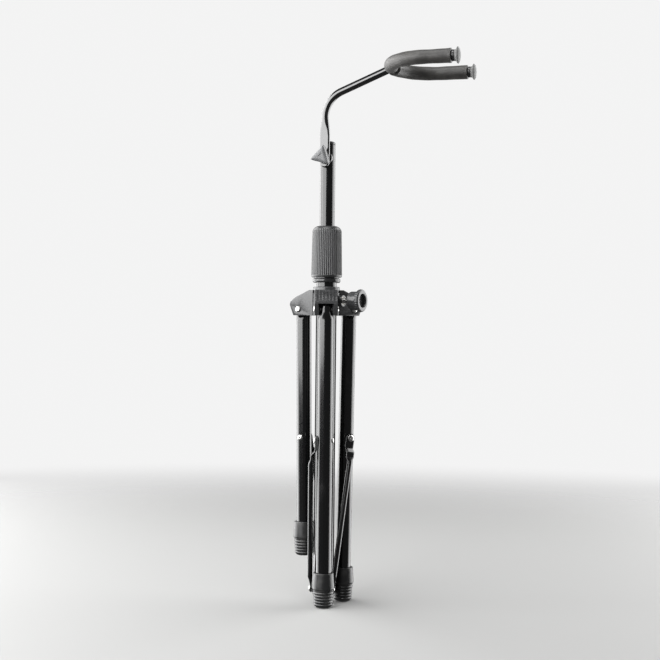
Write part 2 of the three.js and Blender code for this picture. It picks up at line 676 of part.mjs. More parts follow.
// ---------------------------------------------------------------- assembly
const stand = new THREE.Group();
stand.add(baseTube(), basePlug(), clutchBody(), clutchCollet(), clutchGrip());
stand.add(hubBody(), hubInsert(), brakePad(), hubKnob(), hubKnobScrew());
for (const leg of THREE_LEGS) {
  stand.add(legTube(leg), legFoot(leg), legRivet(leg), rivetTail(leg));
  stand.add(strutBar(leg), rivetHead(leg), strutScrew(leg));
}
stand.add(guideBush(), extensionTube(), mastCap(), neckBolt(), neckSaddle());
stand.add(neckRod(), forkRod(), neckKnob(), neckKnobInsert());
for (const [place, side] of [["near", -1], ["far", 1]]) {
  stand.add(foamSleeve(`foam_${place}`, side), foamStop(`foam_stop_${place}`, side));
  stand.add(endCap(`end_cap_${place}`, side));
}

export default stand;
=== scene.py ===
"""Looks for a folding tripod instrument stand: fine meshes and finishes built around its CAD frame.

Sizes are in millimetres until a mesh is made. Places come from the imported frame: its boxes and its joints.
"""

from __future__ import annotations

import json
import logging
import math
from dataclasses import dataclass, field
from enum import Enum
from functools import cache
from typing import Callable, Sequence

import bmesh
import bpy
import numpy as np
from mathutils import Matrix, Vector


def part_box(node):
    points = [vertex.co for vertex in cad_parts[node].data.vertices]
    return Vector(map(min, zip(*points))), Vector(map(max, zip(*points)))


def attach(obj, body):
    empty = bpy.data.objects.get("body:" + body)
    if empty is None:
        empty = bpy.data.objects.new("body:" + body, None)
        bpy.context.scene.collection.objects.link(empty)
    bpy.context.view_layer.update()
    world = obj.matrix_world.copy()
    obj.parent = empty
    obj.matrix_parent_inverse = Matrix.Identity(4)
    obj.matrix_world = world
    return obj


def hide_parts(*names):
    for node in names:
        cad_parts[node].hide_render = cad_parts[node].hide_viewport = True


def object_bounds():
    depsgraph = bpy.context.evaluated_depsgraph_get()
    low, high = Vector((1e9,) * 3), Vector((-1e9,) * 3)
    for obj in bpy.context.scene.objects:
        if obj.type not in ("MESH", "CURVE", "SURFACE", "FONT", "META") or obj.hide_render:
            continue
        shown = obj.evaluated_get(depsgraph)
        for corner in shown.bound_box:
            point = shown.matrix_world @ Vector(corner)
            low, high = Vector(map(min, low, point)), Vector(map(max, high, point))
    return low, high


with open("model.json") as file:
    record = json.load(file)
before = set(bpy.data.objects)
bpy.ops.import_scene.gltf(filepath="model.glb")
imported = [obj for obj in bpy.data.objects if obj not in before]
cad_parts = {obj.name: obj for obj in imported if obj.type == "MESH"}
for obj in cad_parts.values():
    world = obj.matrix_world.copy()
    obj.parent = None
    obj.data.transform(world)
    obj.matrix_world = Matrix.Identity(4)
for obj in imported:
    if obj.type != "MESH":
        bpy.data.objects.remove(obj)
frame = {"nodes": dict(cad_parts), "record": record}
CAD_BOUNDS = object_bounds()

LOG = logging.getLogger("stand")
MM = 0.001
TURN = 2 * math.pi
LEGS = ("front", "right", "left")

Colour = tuple[float, float, float]
Corner = tuple[float, float, float]


# ------------------------------------------------------------------ the frame's own facts
def body_table() -> dict[str, str]:
    """Returns the body that each CAD node belongs to."""
    bodies = frame["record"]["behaviour"]["bodies"]
    return {node: body for body, nodes in bodies.items() for node in nodes}


def joint_place(name: str) -> tuple[np.ndarray, np.ndarray]:
    """Finds a hinge.

    Args:
        name: the joint's name.
    Returns:
        A point on its axis, in millimetres, and the axis.
    """
    joint = next(row for row in frame["record"]["behaviour"]["joints"] if row["name"] == name)
    return np.array(joint["pos_m"]) / MM, np.array(joint["axis"], dtype=float)


def box(node: str) -> tuple[np.ndarray, np.ndarray]:
    """Returns the lowest and highest corners of a CAD node at rest, in millimetres."""
    low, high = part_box(node)
    return np.array(low) / MM, np.array(high) / MM


BODY_OF = body_table()


# ------------------------------------------------------------------ numbers and curves
def unit(vector: np.ndarray) -> np.ndarray:
    """Returns the vector or vectors at length one."""
    return vector / np.linalg.norm(vector, axis=-1, keepdims=True)


def smooth(low: float, high: float, value: np.ndarray) -> np.ndarray:
    """Returns 0 below low, 1 above high and the cubic 3t^2 - 2t^3 between them."""
    t = np.clip((np.asarray(value, dtype=float) - low) / (high - low), 0, 1)
    return t * t * (3 - 2 * t)


def rounded(corners: Sequence[Corner], closed: bool = False, steps: int = 5) -> np.ndarray:
    """Rounds the corners of an outline.

    Each corner (a, b, fillet) becomes a parabola from a point one fillet before it to one as far
    after it, with a further point on each side that keeps the flats flat when shaded smooth.

    Args:
        corners: points of the outline with the length that each is rounded over.
        closed: whether the outline returns to its start.
        steps: points along each rounding.
    Returns:
        The outline's points, one row each.
    """
    spots = np.array([corner[:2] for corner in corners], dtype=float)
    count = len(spots)
    points: list[np.ndarray] = []
    for index, (a, b, fillet) in enumerate(corners):
        if not closed and index in (0, count - 1):
            points.append(np.array([[a, b]]))
            continue
        spot = spots[index]
        before, after = spots[index - 1] - spot, spots[(index + 1) % count] - spot
        size = max(fillet, 0.04)
        reach_in = min(size, 0.45 * np.linalg.norm(before))
        reach_out = min(size, 0.45 * np.linalg.norm(after))
        start, end = spot + unit(before) * reach_in, spot + unit(after) * reach_out
        t = np.linspace(0, 1, steps)[:, None]
        curve = (1 - t) ** 2 * start + 2 * t * (1 - t) * spot + t**2 * end
        lead = spot + unit(before) * reach_in * 1.1
        trail = spot + unit(after) * reach_out * 1.1
        points += [lead[None], curve, trail[None]]
    return np.vstack(points)


@dataclass(frozen=True)
class Place:
    """Where a piece's own axes lie: an origin in millimetres and the directions of X, Y and Z."""

    origin: np.ndarray
    axes: np.ndarray

    @staticmethod
    def along(
        origin: Sequence[float], z_axis: Sequence[float], x_hint: Sequence[float] = (0, 0, 1)
    ) -> "Place":
        """Makes a place from its origin, its Z axis and a direction near its X axis.

        Args:
            origin: the place's origin, in millimetres.
            z_axis: the direction of its Z axis.
            x_hint: a direction near its X axis.
        Returns:
            The place.
        """
        z = unit(np.array(z_axis, dtype=float))
        hint = np.array(x_hint, dtype=float)
        if abs(hint @ z) > 0.95:
            hint = np.array([1.0, 0, 0])
        x = unit(hint - (hint @ z) * z)
        return Place(np.array(origin, dtype=float), np.stack([x, np.cross(z, x), z], axis=1))

    def put(self, points: np.ndarray) -> np.ndarray:
        """Carries points from the piece's own axes to the frame's."""
        return self.origin + points @ self.axes.T



# ------------------------------------------------------------------ surfaces
@dataclass
class Skin:
    """A closed surface: rows of points that each run round, capped at both ends or joined in a loop."""

    points: np.ndarray
    loop: bool = False

    def placed(self, place: Place) -> "Skin":
        """Returns the skin carried to a place."""
        return Skin(place.put(self.points), self.loop)

    def data(self) -> tuple[np.ndarray, list[tuple[int, ...]]]:
        """Returns the skin's corners and faces; an end is a fan about the middle of its row.

        Returns:
            The corners, one row each, and the faces as tuples of corner numbers.
        """
        rows, cols = self.points.shape[:2]
        corners = self.points.reshape(-1, 3)
        lower = np.arange(rows if self.loop else rows - 1)
        i, j = np.meshgrid(lower, np.arange(cols), indexing="ij")
        i_next, j_next = (i + 1) % rows, (j + 1) % cols
        quads = np.stack([i * cols + j, i * cols + j_next, i_next * cols + j_next, i_next * cols + j], -1)
        faces = [tuple(face) for face in quads.reshape(-1, 4).tolist()]
        if not self.loop:
            ends = self.points[[0, -1]].mean(axis=1)
            corners = np.vstack([corners, ends])
            first, last, top = rows * cols, rows * cols + 1, (rows - 1) * cols
            faces += [(first, (k + 1) % cols, k) for k in range(cols)]
            faces += [(last, top + k, top + (k + 1) % cols) for k in range(cols)]
        return corners, faces


def revolve(
    profile: np.ndarray,
    sides: int = 64,
    loop: bool = False,
    swell: Callable[[np.ndarray, np.ndarray], np.ndarray] | None = None,
) -> Skin:
    """Turns a profile about Z: x = r cos u, y = r sin u, z = height.

    Args:
        profile: radius and height, one row each.
        sides: points round the axis.
        loop: whether the profile closes on itself, as a ring's does.
        swell: gives what is added to r for each height and angle.
    Returns:
        The surface.
    """
    angle = np.linspace(0, TURN, sides, endpoint=False)[None, :]
    radius, height = profile[:, :1], profile[:, 1:2]
    reach = radius + (swell(height, angle) if swell else 0 * angle)
    return Skin(np.stack([reach * np.cos(angle), reach * np.sin(angle), height + 0 * angle], -1), loop)


def sweep(
    line: np.ndarray,
    up: Sequence[float],
    wide: np.ndarray,
    thick: np.ndarray,
    power: np.ndarray | float,
    sides: int = 32,
) -> Skin:
    """Carries a section along a line that lies in a plane.

    The section is wide * c^p across the plane's normal and thick * s^p along it, where c and s are
    the cosine and sine round it and p, from 1 to 0.4, squares it off.

    Args:
        line: centre of each station.
        up: the plane's normal.
        wide: half width at each station, in the plane.
        thick: half thickness at each station, along the normal.
        power: the squaring power at each station.
        sides: points round the section.
    Returns:
        The surface.
    """
    normal = unit(np.array(up, dtype=float))
    tangent = unit(np.gradient(line, axis=0))
    side = unit(np.cross(normal[None], tangent))
    angle = np.linspace(0, TURN, sides, endpoint=False)[None, :]
    cosine, sine = np.cos(angle), np.sin(angle)
    p = np.broadcast_to(np.asarray(power, dtype=float), (len(line),))[:, None]
    across = np.asarray(wide)[:, None] * np.sign(cosine) * np.abs(cosine) ** p
    along = np.asarray(thick)[:, None] * np.sign(sine) * np.abs(sine) ** p
    return Skin(line[:, None] - across[..., None] * side[:, None] + along[..., None] * normal)


def add_object(name: str, data: bpy.types.ID, place: Place | None = None) -> bpy.types.Object:
    """Links a new object into the scene, at the origin or with its own axes at a place.

    Args:
        name: the object's name.
        data: its mesh, camera or light.
        place: where its own axes lie.
    Returns:
        The object.
    """
    thing = bpy.data.objects.new(name, data)
    bpy.context.scene.collection.objects.link(thing)
    if place:
        thing.location = (place.origin * MM).tolist()
        thing.rotation_euler = Matrix(place.axes.tolist()).to_euler()
    return thing


def make_mesh(name: str, skins: Sequence[Skin]) -> bpy.types.Object:
    """Puts surfaces into one object at the origin, in metres, smooth apart from its sharp edges.

    Args:
        name: the object's name.
        skins: the surfaces to put in it.
    Returns:
        The object.
    """
    corners: list[np.ndarray] = []
    faces: list[tuple[int, ...]] = []
    start = 0
    for skin in skins:
        spots, sides = skin.data()
        corners.append(spots)
        faces += [tuple(index + start for index in side) for side in sides]
        start += len(spots)
    mesh = bpy.data.meshes.new(name)
    mesh.from_pydata((np.vstack(corners) * MM).tolist(), [], faces)
    work = bmesh.new()
    work.from_mesh(mesh)
    bmesh.ops.recalc_face_normals(work, faces=work.faces)
    work.to_mesh(mesh)
    work.free()
    mesh.shade_smooth()
    mesh.set_sharp_from_angle(angle=math.radians(48))
    return add_object(name, mesh)


# ------------------------------------------------------------------ shader maths
class Wire:
    """A shader value that arithmetic can be written on."""

    def __init__(self, sheet: "Sheet", socket: bpy.types.NodeSocket) -> None:
        """Keeps the sheet of nodes and the socket that the value comes from."""
        self.sheet = sheet
        self.socket = socket

    def _sum(self, operation: str, first: "Wire | float", second: "Wire | float") -> "Wire":
        """Adds a Math node of that operation."""
        return self.sheet.add("ShaderNodeMath", {"operation": operation}, {0: first, 1: second})

    def __add__(self, other: "Wire | float") -> "Wire":
        """Returns self + other."""
        return self._sum("ADD", self, other)

    def __sub__(self, other: "Wire | float") -> "Wire":
        """Returns self - other."""
        return self._sum("SUBTRACT", self, other)

    def __rsub__(self, other: float) -> "Wire":
        """Returns other - self."""
        return self._sum("SUBTRACT", other, self)

    def __mul__(self, other: "Wire | float") -> "Wire":
        """Returns self * other."""
        return self._sum("MULTIPLY", self, other)

    __radd__ = __add__
    __rmul__ = __mul__


class Sheet:
    """A material's nodes, with its Principled shader ready to be fed."""

    def __init__(self, name: str) -> None:
        """Makes an empty material with a shader and an output.

        Args:
            name: the finish's name.
        """
        self.material = bpy.data.materials.new(f"{name}_finish")
        self.material.use_nodes = True
        self.tree = self.material.node_tree
        self.tree.nodes.clear()
        self.shader = self.tree.nodes.new("ShaderNodeBsdfPrincipled")
        output = self.tree.nodes.new("ShaderNodeOutputMaterial")
        self.tree.links.new(self.shader.outputs["BSDF"], output.inputs["Surface"])
        self.place = self.add("ShaderNodeTexCoord", {}, {}, "Object")

    def add(self, kind: str, settings: dict, inputs: dict, output: int | str = 0) -> Wire:
        """Adds a node.

        Args:
            kind: the node's type.
            settings: the node's own settings, such as a Math node's operation, or a ramp's stops.
            inputs: values or wires by socket.
            output: the socket to return.
        Returns:
            The chosen output.
        """
        node = self.tree.nodes.new(kind)
        stops = settings.pop("stops", None)
        for key, value in settings.items():
            setattr(node, key, value)
        if stops:
            for element, (position, level) in zip(node.color_ramp.elements, stops):
                element.position = position
                element.color = (level, level, level, 1)
        for key, value in inputs.items():
            self.feed(node.inputs[key], value)
        return Wire(self, node.outputs[output])

    def feed(self, socket: bpy.types.NodeSocket, value: "Wire | float | tuple") -> None:
        """Links a wire to a socket, or sets the socket's own value.

        Args:
            socket: the input to feed.
            value: a wire to link, or the value to set.
        """
        if isinstance(value, Wire):
            self.tree.links.new(value.socket, socket)
        else:
            socket.default_value = value

    def noise(self, size: float, detail: float, stretch: tuple[float, float, float] = (1, 1, 1)) -> Wire:
        """Returns a cloudy pattern of about that size in millimetres, stretched along some axes.

        Args:
            size: the pattern's size in millimetres.
            detail: how many finer layers it has.
            stretch: how far it is drawn out along X, Y and Z.
        Returns:
            The pattern.
        """
        place = self.place
        if stretch != (1, 1, 1):
            scale = tuple(1 / value for value in stretch)
            place = self.add("ShaderNodeMapping", {}, {"Vector": place, "Scale": scale})
        inputs = {"Vector": place, "Scale": 1 / (size * MM), "Detail": detail}
        return self.add("ShaderNodeTexNoise", {}, inputs)

    def cells(self, size: float) -> Wire:
        """Returns distances in a cell pattern of about that size in millimetres."""
        inputs = {"Vector": self.place, "Scale": 1 / (size * MM)}
        return self.add("ShaderNodeTexVoronoi", {}, inputs, "Distance")

    def step(self, value: Wire, low: float, high: float) -> Wire:
        """Returns 0 where value is below low and 1 where it is above high."""
        return self.add("ShaderNodeMapRange", {"interpolation_type": "SMOOTHSTEP"},
                        {"Value": value, "From Min": low, "From Max": high})

    def blend(self, amount: Wire, first: Colour, second: Colour) -> Wire:
        """Returns a colour between two, by amount.

        Args:
            amount: 0 for the first colour and 1 for the second.
            first: a colour.
            second: another colour.
        Returns:
            The colour.
        """
        mix = self.tree.nodes.new("ShaderNodeMix")
        mix.data_type = "RGBA"
        self.feed(mix.inputs[0], amount)
        self.feed(mix.inputs[6], (*first, 1))
        self.feed(mix.inputs[7], (*second, 1))
        return Wire(self, mix.outputs[2])

    def bump(self, height: Wire, depth: float, strength: float = 1.0) -> Wire:
        """Returns a normal raised by height times a depth in millimetres."""
        inputs = {"Height": height, "Distance": depth * MM, "Strength": strength}
        return self.add("ShaderNodeBump", {}, inputs)

    def finish(self, **values: "Wire | float | tuple") -> bpy.types.Material:
        """Feeds the shader's sockets, with _ for a space in their names, and returns the material.

        Args:
            values: a value or wire for each socket, by the socket's name.
        Returns:
            The material.
        """
        for key, value in values.items():
            self.feed(self.shader.inputs[key.replace("_", " ")], value)
        return self.material


@dataclass(frozen=True)
class PowderCoat:
    """Black stove paint: glossy, with a faint orange peel, rub marks and a little dust."""

    name: str
    colour: Colour = (0.002, 0.0021, 0.0023)
    rubbed: Colour = (0.008, 0.008, 0.0084)
    roughness: float = 0.15
    peel: float = 1.1
    peel_depth: float = 0.003
    specular: float = 0.5
    coat: float = 0.2
    coat_roughness: float = 0.07

    def build(self) -> bpy.types.Material:
        """Returns the material.

        Returns:
            The material.
        """
        sheet = Sheet(self.name)
        cloud = sheet.noise(38, 3)
        rub = sheet.step(sheet.noise(9, 4, (1, 1, 4)), 0.58, 0.74)
        peel = sheet.noise(self.peel, 1.5)
        dust = sheet.step(sheet.cells(4.2), 0.08, 0.04) * 0.5
        marks = rub * 0.6 + dust
        return sheet.finish(
            Base_Color=sheet.blend(marks, self.colour, self.rubbed),
            Roughness=cloud * 0.06 + rub * 0.07 + (self.roughness - 0.03),
            Normal=sheet.bump(peel, self.peel_depth),
            Specular_IOR_Level=self.specular,
            Coat_Weight=self.coat,
            Coat_Roughness=self.coat_roughness,
        )


@dataclass(frozen=True)
class Moulding:
    """Moulded plastic: a fine spark-eroded grain, slightly cloudy, paler where hands polish it."""

    name: str
    colour: Colour
    worn: Colour
    roughness: float = 0.42
    grain: float = 0.55
    grain_depth: float = 0.03
    scuffing: float = 0.45
    specular: float = 0.5

    def build(self) -> bpy.types.Material:
        """Returns the material.

        Returns:
            The material.
        """
        sheet = Sheet(self.name)
        cloud = sheet.noise(16, 4)
        grain = sheet.noise(self.grain, 3)
        pits = sheet.cells(self.grain * 1.7)
        scuffs = sheet.step(sheet.noise(3.2, 5, (1, 1, 0.35)), 0.6, 0.75)
        return sheet.finish(
            Base_Color=sheet.blend(cloud * 0.55 + scuffs * self.scuffing, self.colour, self.worn),
            Roughness=cloud * 0.14 + scuffs * 0.08 + (self.roughness - 0.07),
            Normal=sheet.bump(grain + pits * 0.6, self.grain_depth, 0.7),
            Specular_IOR_Level=self.specular,
        )


@dataclass(frozen=True)
class SoftRubber:
    """Matte black rubber with a bloom of dust in its pores."""

    name: str
    colour: Colour = (0.01, 0.0103, 0.0108)
    bloom: Colour = (0.026, 0.0257, 0.0252)

    def build(self) -> bpy.types.Material:
        """Returns the material.

        Returns:
            The material.
        """
        sheet = Sheet(self.name)
        cloud = sheet.step(sheet.noise(11, 5), 0.42, 0.72)
        pores = sheet.noise(0.7, 4)
        return sheet.finish(
            Base_Color=sheet.blend(cloud, self.colour, self.bloom),
            Roughness=pores * 0.12 + cloud * 0.1 + 0.24,
            Normal=sheet.bump(pores, 0.05),
        )


@dataclass(frozen=True)
class Plating:
    """Plated metal: bright, with fine turning lines and cloudy handling marks."""

    name: str
    colour: Colour = (0.52, 0.517, 0.508)
    dull: Colour = (0.33, 0.327, 0.32)
    roughness: float = 0.2

    def build(self) -> bpy.types.Material:
        """Returns the material.

        Returns:
            The material.
        """
        sheet = Sheet(self.name)
        cloud = sheet.noise(3.0, 4)
        lines = sheet.noise(0.35, 2)
        return sheet.finish(
            Base_Color=sheet.blend(sheet.step(cloud, 0.4, 0.75), self.colour, self.dull),
            Metallic=1.0,
            Roughness=cloud * 0.2 + (self.roughness - 0.05),
            Normal=sheet.bump(lines, 0.006),
        )


@dataclass(frozen=True)
class FoamRubber:
    """Closed-cell foam: warm dark grey, matte, with fine open pores and a mottled, dusty skin."""

    name: str
    colour: Colour = (0.013, 0.0121, 0.0111)
    pale: Colour = (0.034, 0.032, 0.0292)
    pore: float = 0.75

    def build(self) -> bpy.types.Material:
        """Returns the material.

        Returns:
            The material.
        """
        sheet = Sheet(self.name)
        mottle = sheet.noise(7, 6)
        pores = sheet.cells(self.pore)
        crumbs = sheet.noise(0.45, 3)
        tone = sheet.step(mottle, 0.3, 0.75) * 0.7 + crumbs * 0.3
        return sheet.finish(
            Base_Color=sheet.blend(tone, self.colour, self.pale),
            Roughness=pores * 0.12 + 0.46,
            Normal=sheet.bump(pores * 0.8 + crumbs * 0.5, 0.12, 0.8),
            Sheen_Weight=0.06,
            Sheen_Roughness=0.5,
        )


class Finish(Enum):
    """The stand's finishes, one to a kind of stuff.

    Their materials get names of their own, because the CAD frame already has one for each slot.
    """

    TUBE = PowderCoat("tube_paint")
    ROD = PowderCoat("rod_paint", roughness=0.2, peel=0.8)
    NECK = PowderCoat("neck_enamel", roughness=0.12, peel=0.9, specular=0.8, coat=0.5)
    HUB = Moulding("hub_plastic", (0.026, 0.0265, 0.0275), (0.045, 0.0455, 0.0465), 0.27, scuffing=0.3)
    RING = Moulding("ring_plastic", (0.012, 0.0122, 0.0127), (0.022, 0.0223, 0.023), 0.2, grain_depth=0.01)
    DARK = Moulding("dark_plastic", (0.01, 0.0102, 0.0108), (0.02, 0.0203, 0.0212), roughness=0.28)
    GRIP = Moulding("grip_plastic", (0.018, 0.0183, 0.019), (0.034, 0.0345, 0.0355), 0.32, grain=0.7)
    INNER = Moulding("inner_plastic", (0.3, 0.3, 0.3), (0.42, 0.42, 0.41))
    RUBBER = SoftRubber("foot_rubber")
    STEEL = Plating("bright_steel")
    KNOB = Moulding("knob_plastic", (0.09, 0.0915, 0.094), (0.13, 0.132, 0.135), roughness=0.44, scuffing=0.2)
    CAP = Moulding("cap_plastic", (0.12, 0.121, 0.12), (0.16, 0.161, 0.16), 0.5, scuffing=0.2, specular=0.12)
    FOAM = FoamRubber("grey_foam")
    INSERT = Plating("plated_insert", (0.26, 0.25, 0.225), (0.16, 0.153, 0.138), 0.35)

    @cache
    def material(self) -> bpy.types.Material:
        """Returns the finish's material, made once."""
        return self.value.build()


def dress(piece: bpy.types.Object, node: str, finish: Finish) -> bpy.types.Object:
    """Makes a piece stand for a CAD node: its body and its finish.

    Args:
        piece: the object to dress.
        node: the CAD node that it stands for.
        finish: its finish.
    Returns:
        The piece.
    """
    piece.data.materials.append(finish.material())
    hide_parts(node)
    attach(piece, BODY_OF[node])
    LOG.info("%s: %d faces for %s", piece.name, len(piece.data.polygons), node)
    return piece


def add_piece(node: str, skins: Sequence[Skin], finish: Finish) -> bpy.types.Object:
    """Makes the fine piece that stands for a CAD node."""
    return dress(make_mesh(f"{node}_finished", skins), node, finish)


def repaint(node: str, finish: Finish) -> None:
    """Gives a CAD node, kept as it is, its finish.

    Args:
        node: the CAD node's name.
        finish: its finish.
    """
    mesh = frame["nodes"][node].data
    mesh.materials.clear()
    mesh.materials.append(finish.material())


def tube_skin(
    outer: float, inner: float, low: float, high: float, fillet: float = 0.35, sides: int = 72
) -> Skin:
    """Returns an open tube with rounded rims, its profile a rounded rectangle turned about Z."""
    corners = [(inner, low, fillet), (outer, low, fillet), (outer, high, fillet), (inner, high, fillet)]
    return revolve(rounded(corners, closed=True), sides, loop=True)


# ------------------------------------------------------------------ mast
@dataclass
class Mast:
    """The two tubes, the plug under them and the twist clutch between them."""

    tube_wall: float = 1.5
    mast_wall: float = 1.2
    ribs: int = 48
    rib_height: float = 0.5
    ring_radius: float = 14.7
    ring_height: float = 4.6
    ring_bore: float = 11.3
    bore_step: float = 350.3
    sleeve_bore: float = 10.0
    sleeve_radius: float = 11.5
    shoulder_radius: float = 12.9
    shoulder_top: float = 352.0
    plug_radius: float = 11.7
    spigot_radius: float = 9.2
    boss_radius: float = 4.0
    boss_from: float = 6.0
    boss_to: float = 12.0
    cap_spigot: float = 6.5
    seat_gap: float = 0.3

    def build(self) -> None:
        """Makes every piece of the mast."""
        self.base_tube()
        self.base_plug()
        self.clutch_body()
        self.clutch_grip()
        self.extension_tube()
        self.mast_cap()
        repaint("clutch_collet", Finish.INNER)
        repaint("guide_bush", Finish.INNER)

    def base_tube(self) -> None:
        """The lower tube, a plain tube with rounded rims."""
        low, high = box("base_tube")
        skin = tube_skin(high[0], high[0] - self.tube_wall, low[2], high[2])
        add_piece("base_tube", [skin], Finish.TUBE)

    def base_plug(self) -> None:
        """The plug: a turned cap with a spigot, and a round boss under each strut's lower end."""
        high = box("base_plug")[1]
        tube_low = box("base_tube")[0][2] - self.seat_gap
        radius, spigot = self.plug_radius, self.spigot_radius
        corners = [(0, 0, 0), (radius, 0, 1.4), (radius, tube_low, 0.5), (spigot, tube_low, 0.4),
                   (spigot, high[2], 0.6), (0, high[2], 0)]
        skins = [revolve(rounded(corners)[1:-1])]
        near, far, wide = self.boss_from, self.boss_to, self.boss_radius
        boss = rounded([(0, near, 0), (wide, near, 0.1), (wide, far, 0.4), (0, far, 0)])[1:-1]
        for leg in LEGS:
            pivot, axis = joint_place(f"strut_{leg}_hinge")
            skins.append(revolve(boss, 40).placed(Place.along(pivot, -axis)))
        add_piece("base_plug", skins, Finish.DARK)

    def clutch_body(self) -> None:
        """The ring on the tube's upper end, and the threaded sleeve inside the grip."""
        low, high = box("clutch_body")
        bore, ring, top = self.ring_bore, self.ring_radius, low[2] + self.ring_height
        shoulder, sleeve, inside = self.shoulder_radius, self.sleeve_radius, self.sleeve_bore
        corners = [
            (bore, low[2], 0.3), (ring - 0.9, low[2], 0.4), (ring, low[2] + 1.1, 0.6), (ring, top - 1.1, 0.6),
            (ring - 0.9, top, 0.3), (shoulder, top, 0.2), (shoulder, self.shoulder_top, 0.3),
            (sleeve, self.shoulder_top, 0.3), (sleeve, high[2], 0.3), (inside, high[2], 0.3),
            (inside, self.bore_step, 0.2), (bore, self.bore_step, 0.2),
        ]
        add_piece("clutch_body", [revolve(rounded(corners, closed=True), 96, loop=True)], Finish.RING)

    def clutch_grip(self) -> None:
        """The grip: a slightly tapered sleeve with fine upright ribs that fade out at both ends."""
        low, high = box("clutch_grip")
        bottom, top, widest = low[2], high[2], high[0]
        corners = [
            (13.2, bottom, 0.4), (widest - 0.5, bottom, 0.9), (widest, bottom + 2.4, 1.0),
            (widest - 0.5, top - 22, 6), (widest - 0.9, top - 4.2, 1.8), (widest - 3.2, top - 1.2, 1.5),
            (widest - 6.2, top, 1.2), (8.3, top, 0.4), (8.3, 390, 0.5), (11.4, 380, 1), (13.2, 374, 0.5),
        ]
        profile = rounded(corners, closed=True)
        onward = np.roll(profile, -1, 0)
        dense = np.vstack([np.linspace(a, b, 4, endpoint=False) for a, b in zip(profile, onward)])

        def ribbing(height: np.ndarray, angle: np.ndarray) -> np.ndarray:
            """Adds a rounded square wave round the outside, between the plain bands at the ends.

            Args:
                height: each row's height.
                angle: each column's angle.
            Returns:
                What is added to the radius.
            """
            wave = np.clip(1.6 * np.cos(self.ribs * angle), -1, 1)
            band = smooth(bottom + 1.6, bottom + 2.8, height) * (1 - smooth(top - 5.4, top - 2.4, height))
            outside = dense[:, :1] > 13.4
            return self.rib_height * 0.5 * (wave - 1) * band * outside

        add_piece("clutch_grip", [revolve(dense, self.ribs * 8, loop=True, swell=ribbing)], Finish.GRIP)

    def extension_tube(self) -> None:
        """The upper tube."""
        low, high = box("extension_tube")
        skin = tube_skin(high[0], high[0] - self.mast_wall, low[2], high[2])
        add_piece("extension_tube", [skin], Finish.TUBE)

    def mast_cap(self) -> None:
        """The cap in the upper tube's end: a low dome over a spigot."""
        low, high = box("mast_cap")
        seat, spigot = box("extension_tube")[1][2] + self.seat_gap, self.cap_spigot
        corners = [(0, low[2], 0), (spigot, low[2], 0.5), (spigot, seat, 0.1), (high[0], seat, 0.2),
                   (high[0], high[2] - 1.4, 1.6), (high[0] - 2.6, high[2] - 0.1, 1.6), (0, high[2], 0)]
        add_piece("mast_cap", [revolve(rounded(corners)[1:-1], 56)], Finish.DARK)


# ------------------------------------------------------------------ fasteners
def rivet_profile(radius: float, face: float, crown: float, dimple: float) -> list[Corner]:
    """Returns corners of a domed rivet head from its rim at height face up to crown, with a dimple.

    Args:
        radius: the head's radius.
        face: the height of its underside.
        crown: the height of its top.
        dimple: its dimple's radius.
    Returns:
        The corners, from the rim inwards.
    """
    height = crown - face
    return [(radius, face, 0.15), (radius, face + 0.35 * height, 0.4), (0.62 * radius, crown, 0.7),
            (dimple, crown, 0.25), (0.7 * dimple, crown - 0.6 * height, 0.3)]


def shafted(shank: float, start: float, head: list[Corner], end: float) -> Skin:
    """Returns a shank with a head on it, turned about Z from start to end."""
    corners = [(0, start, 0), (shank, start, 0.3), (shank, head[0][1], 0.1), *head, (0, end, 0)]
    return revolve(rounded(corners)[1:-1], 40)


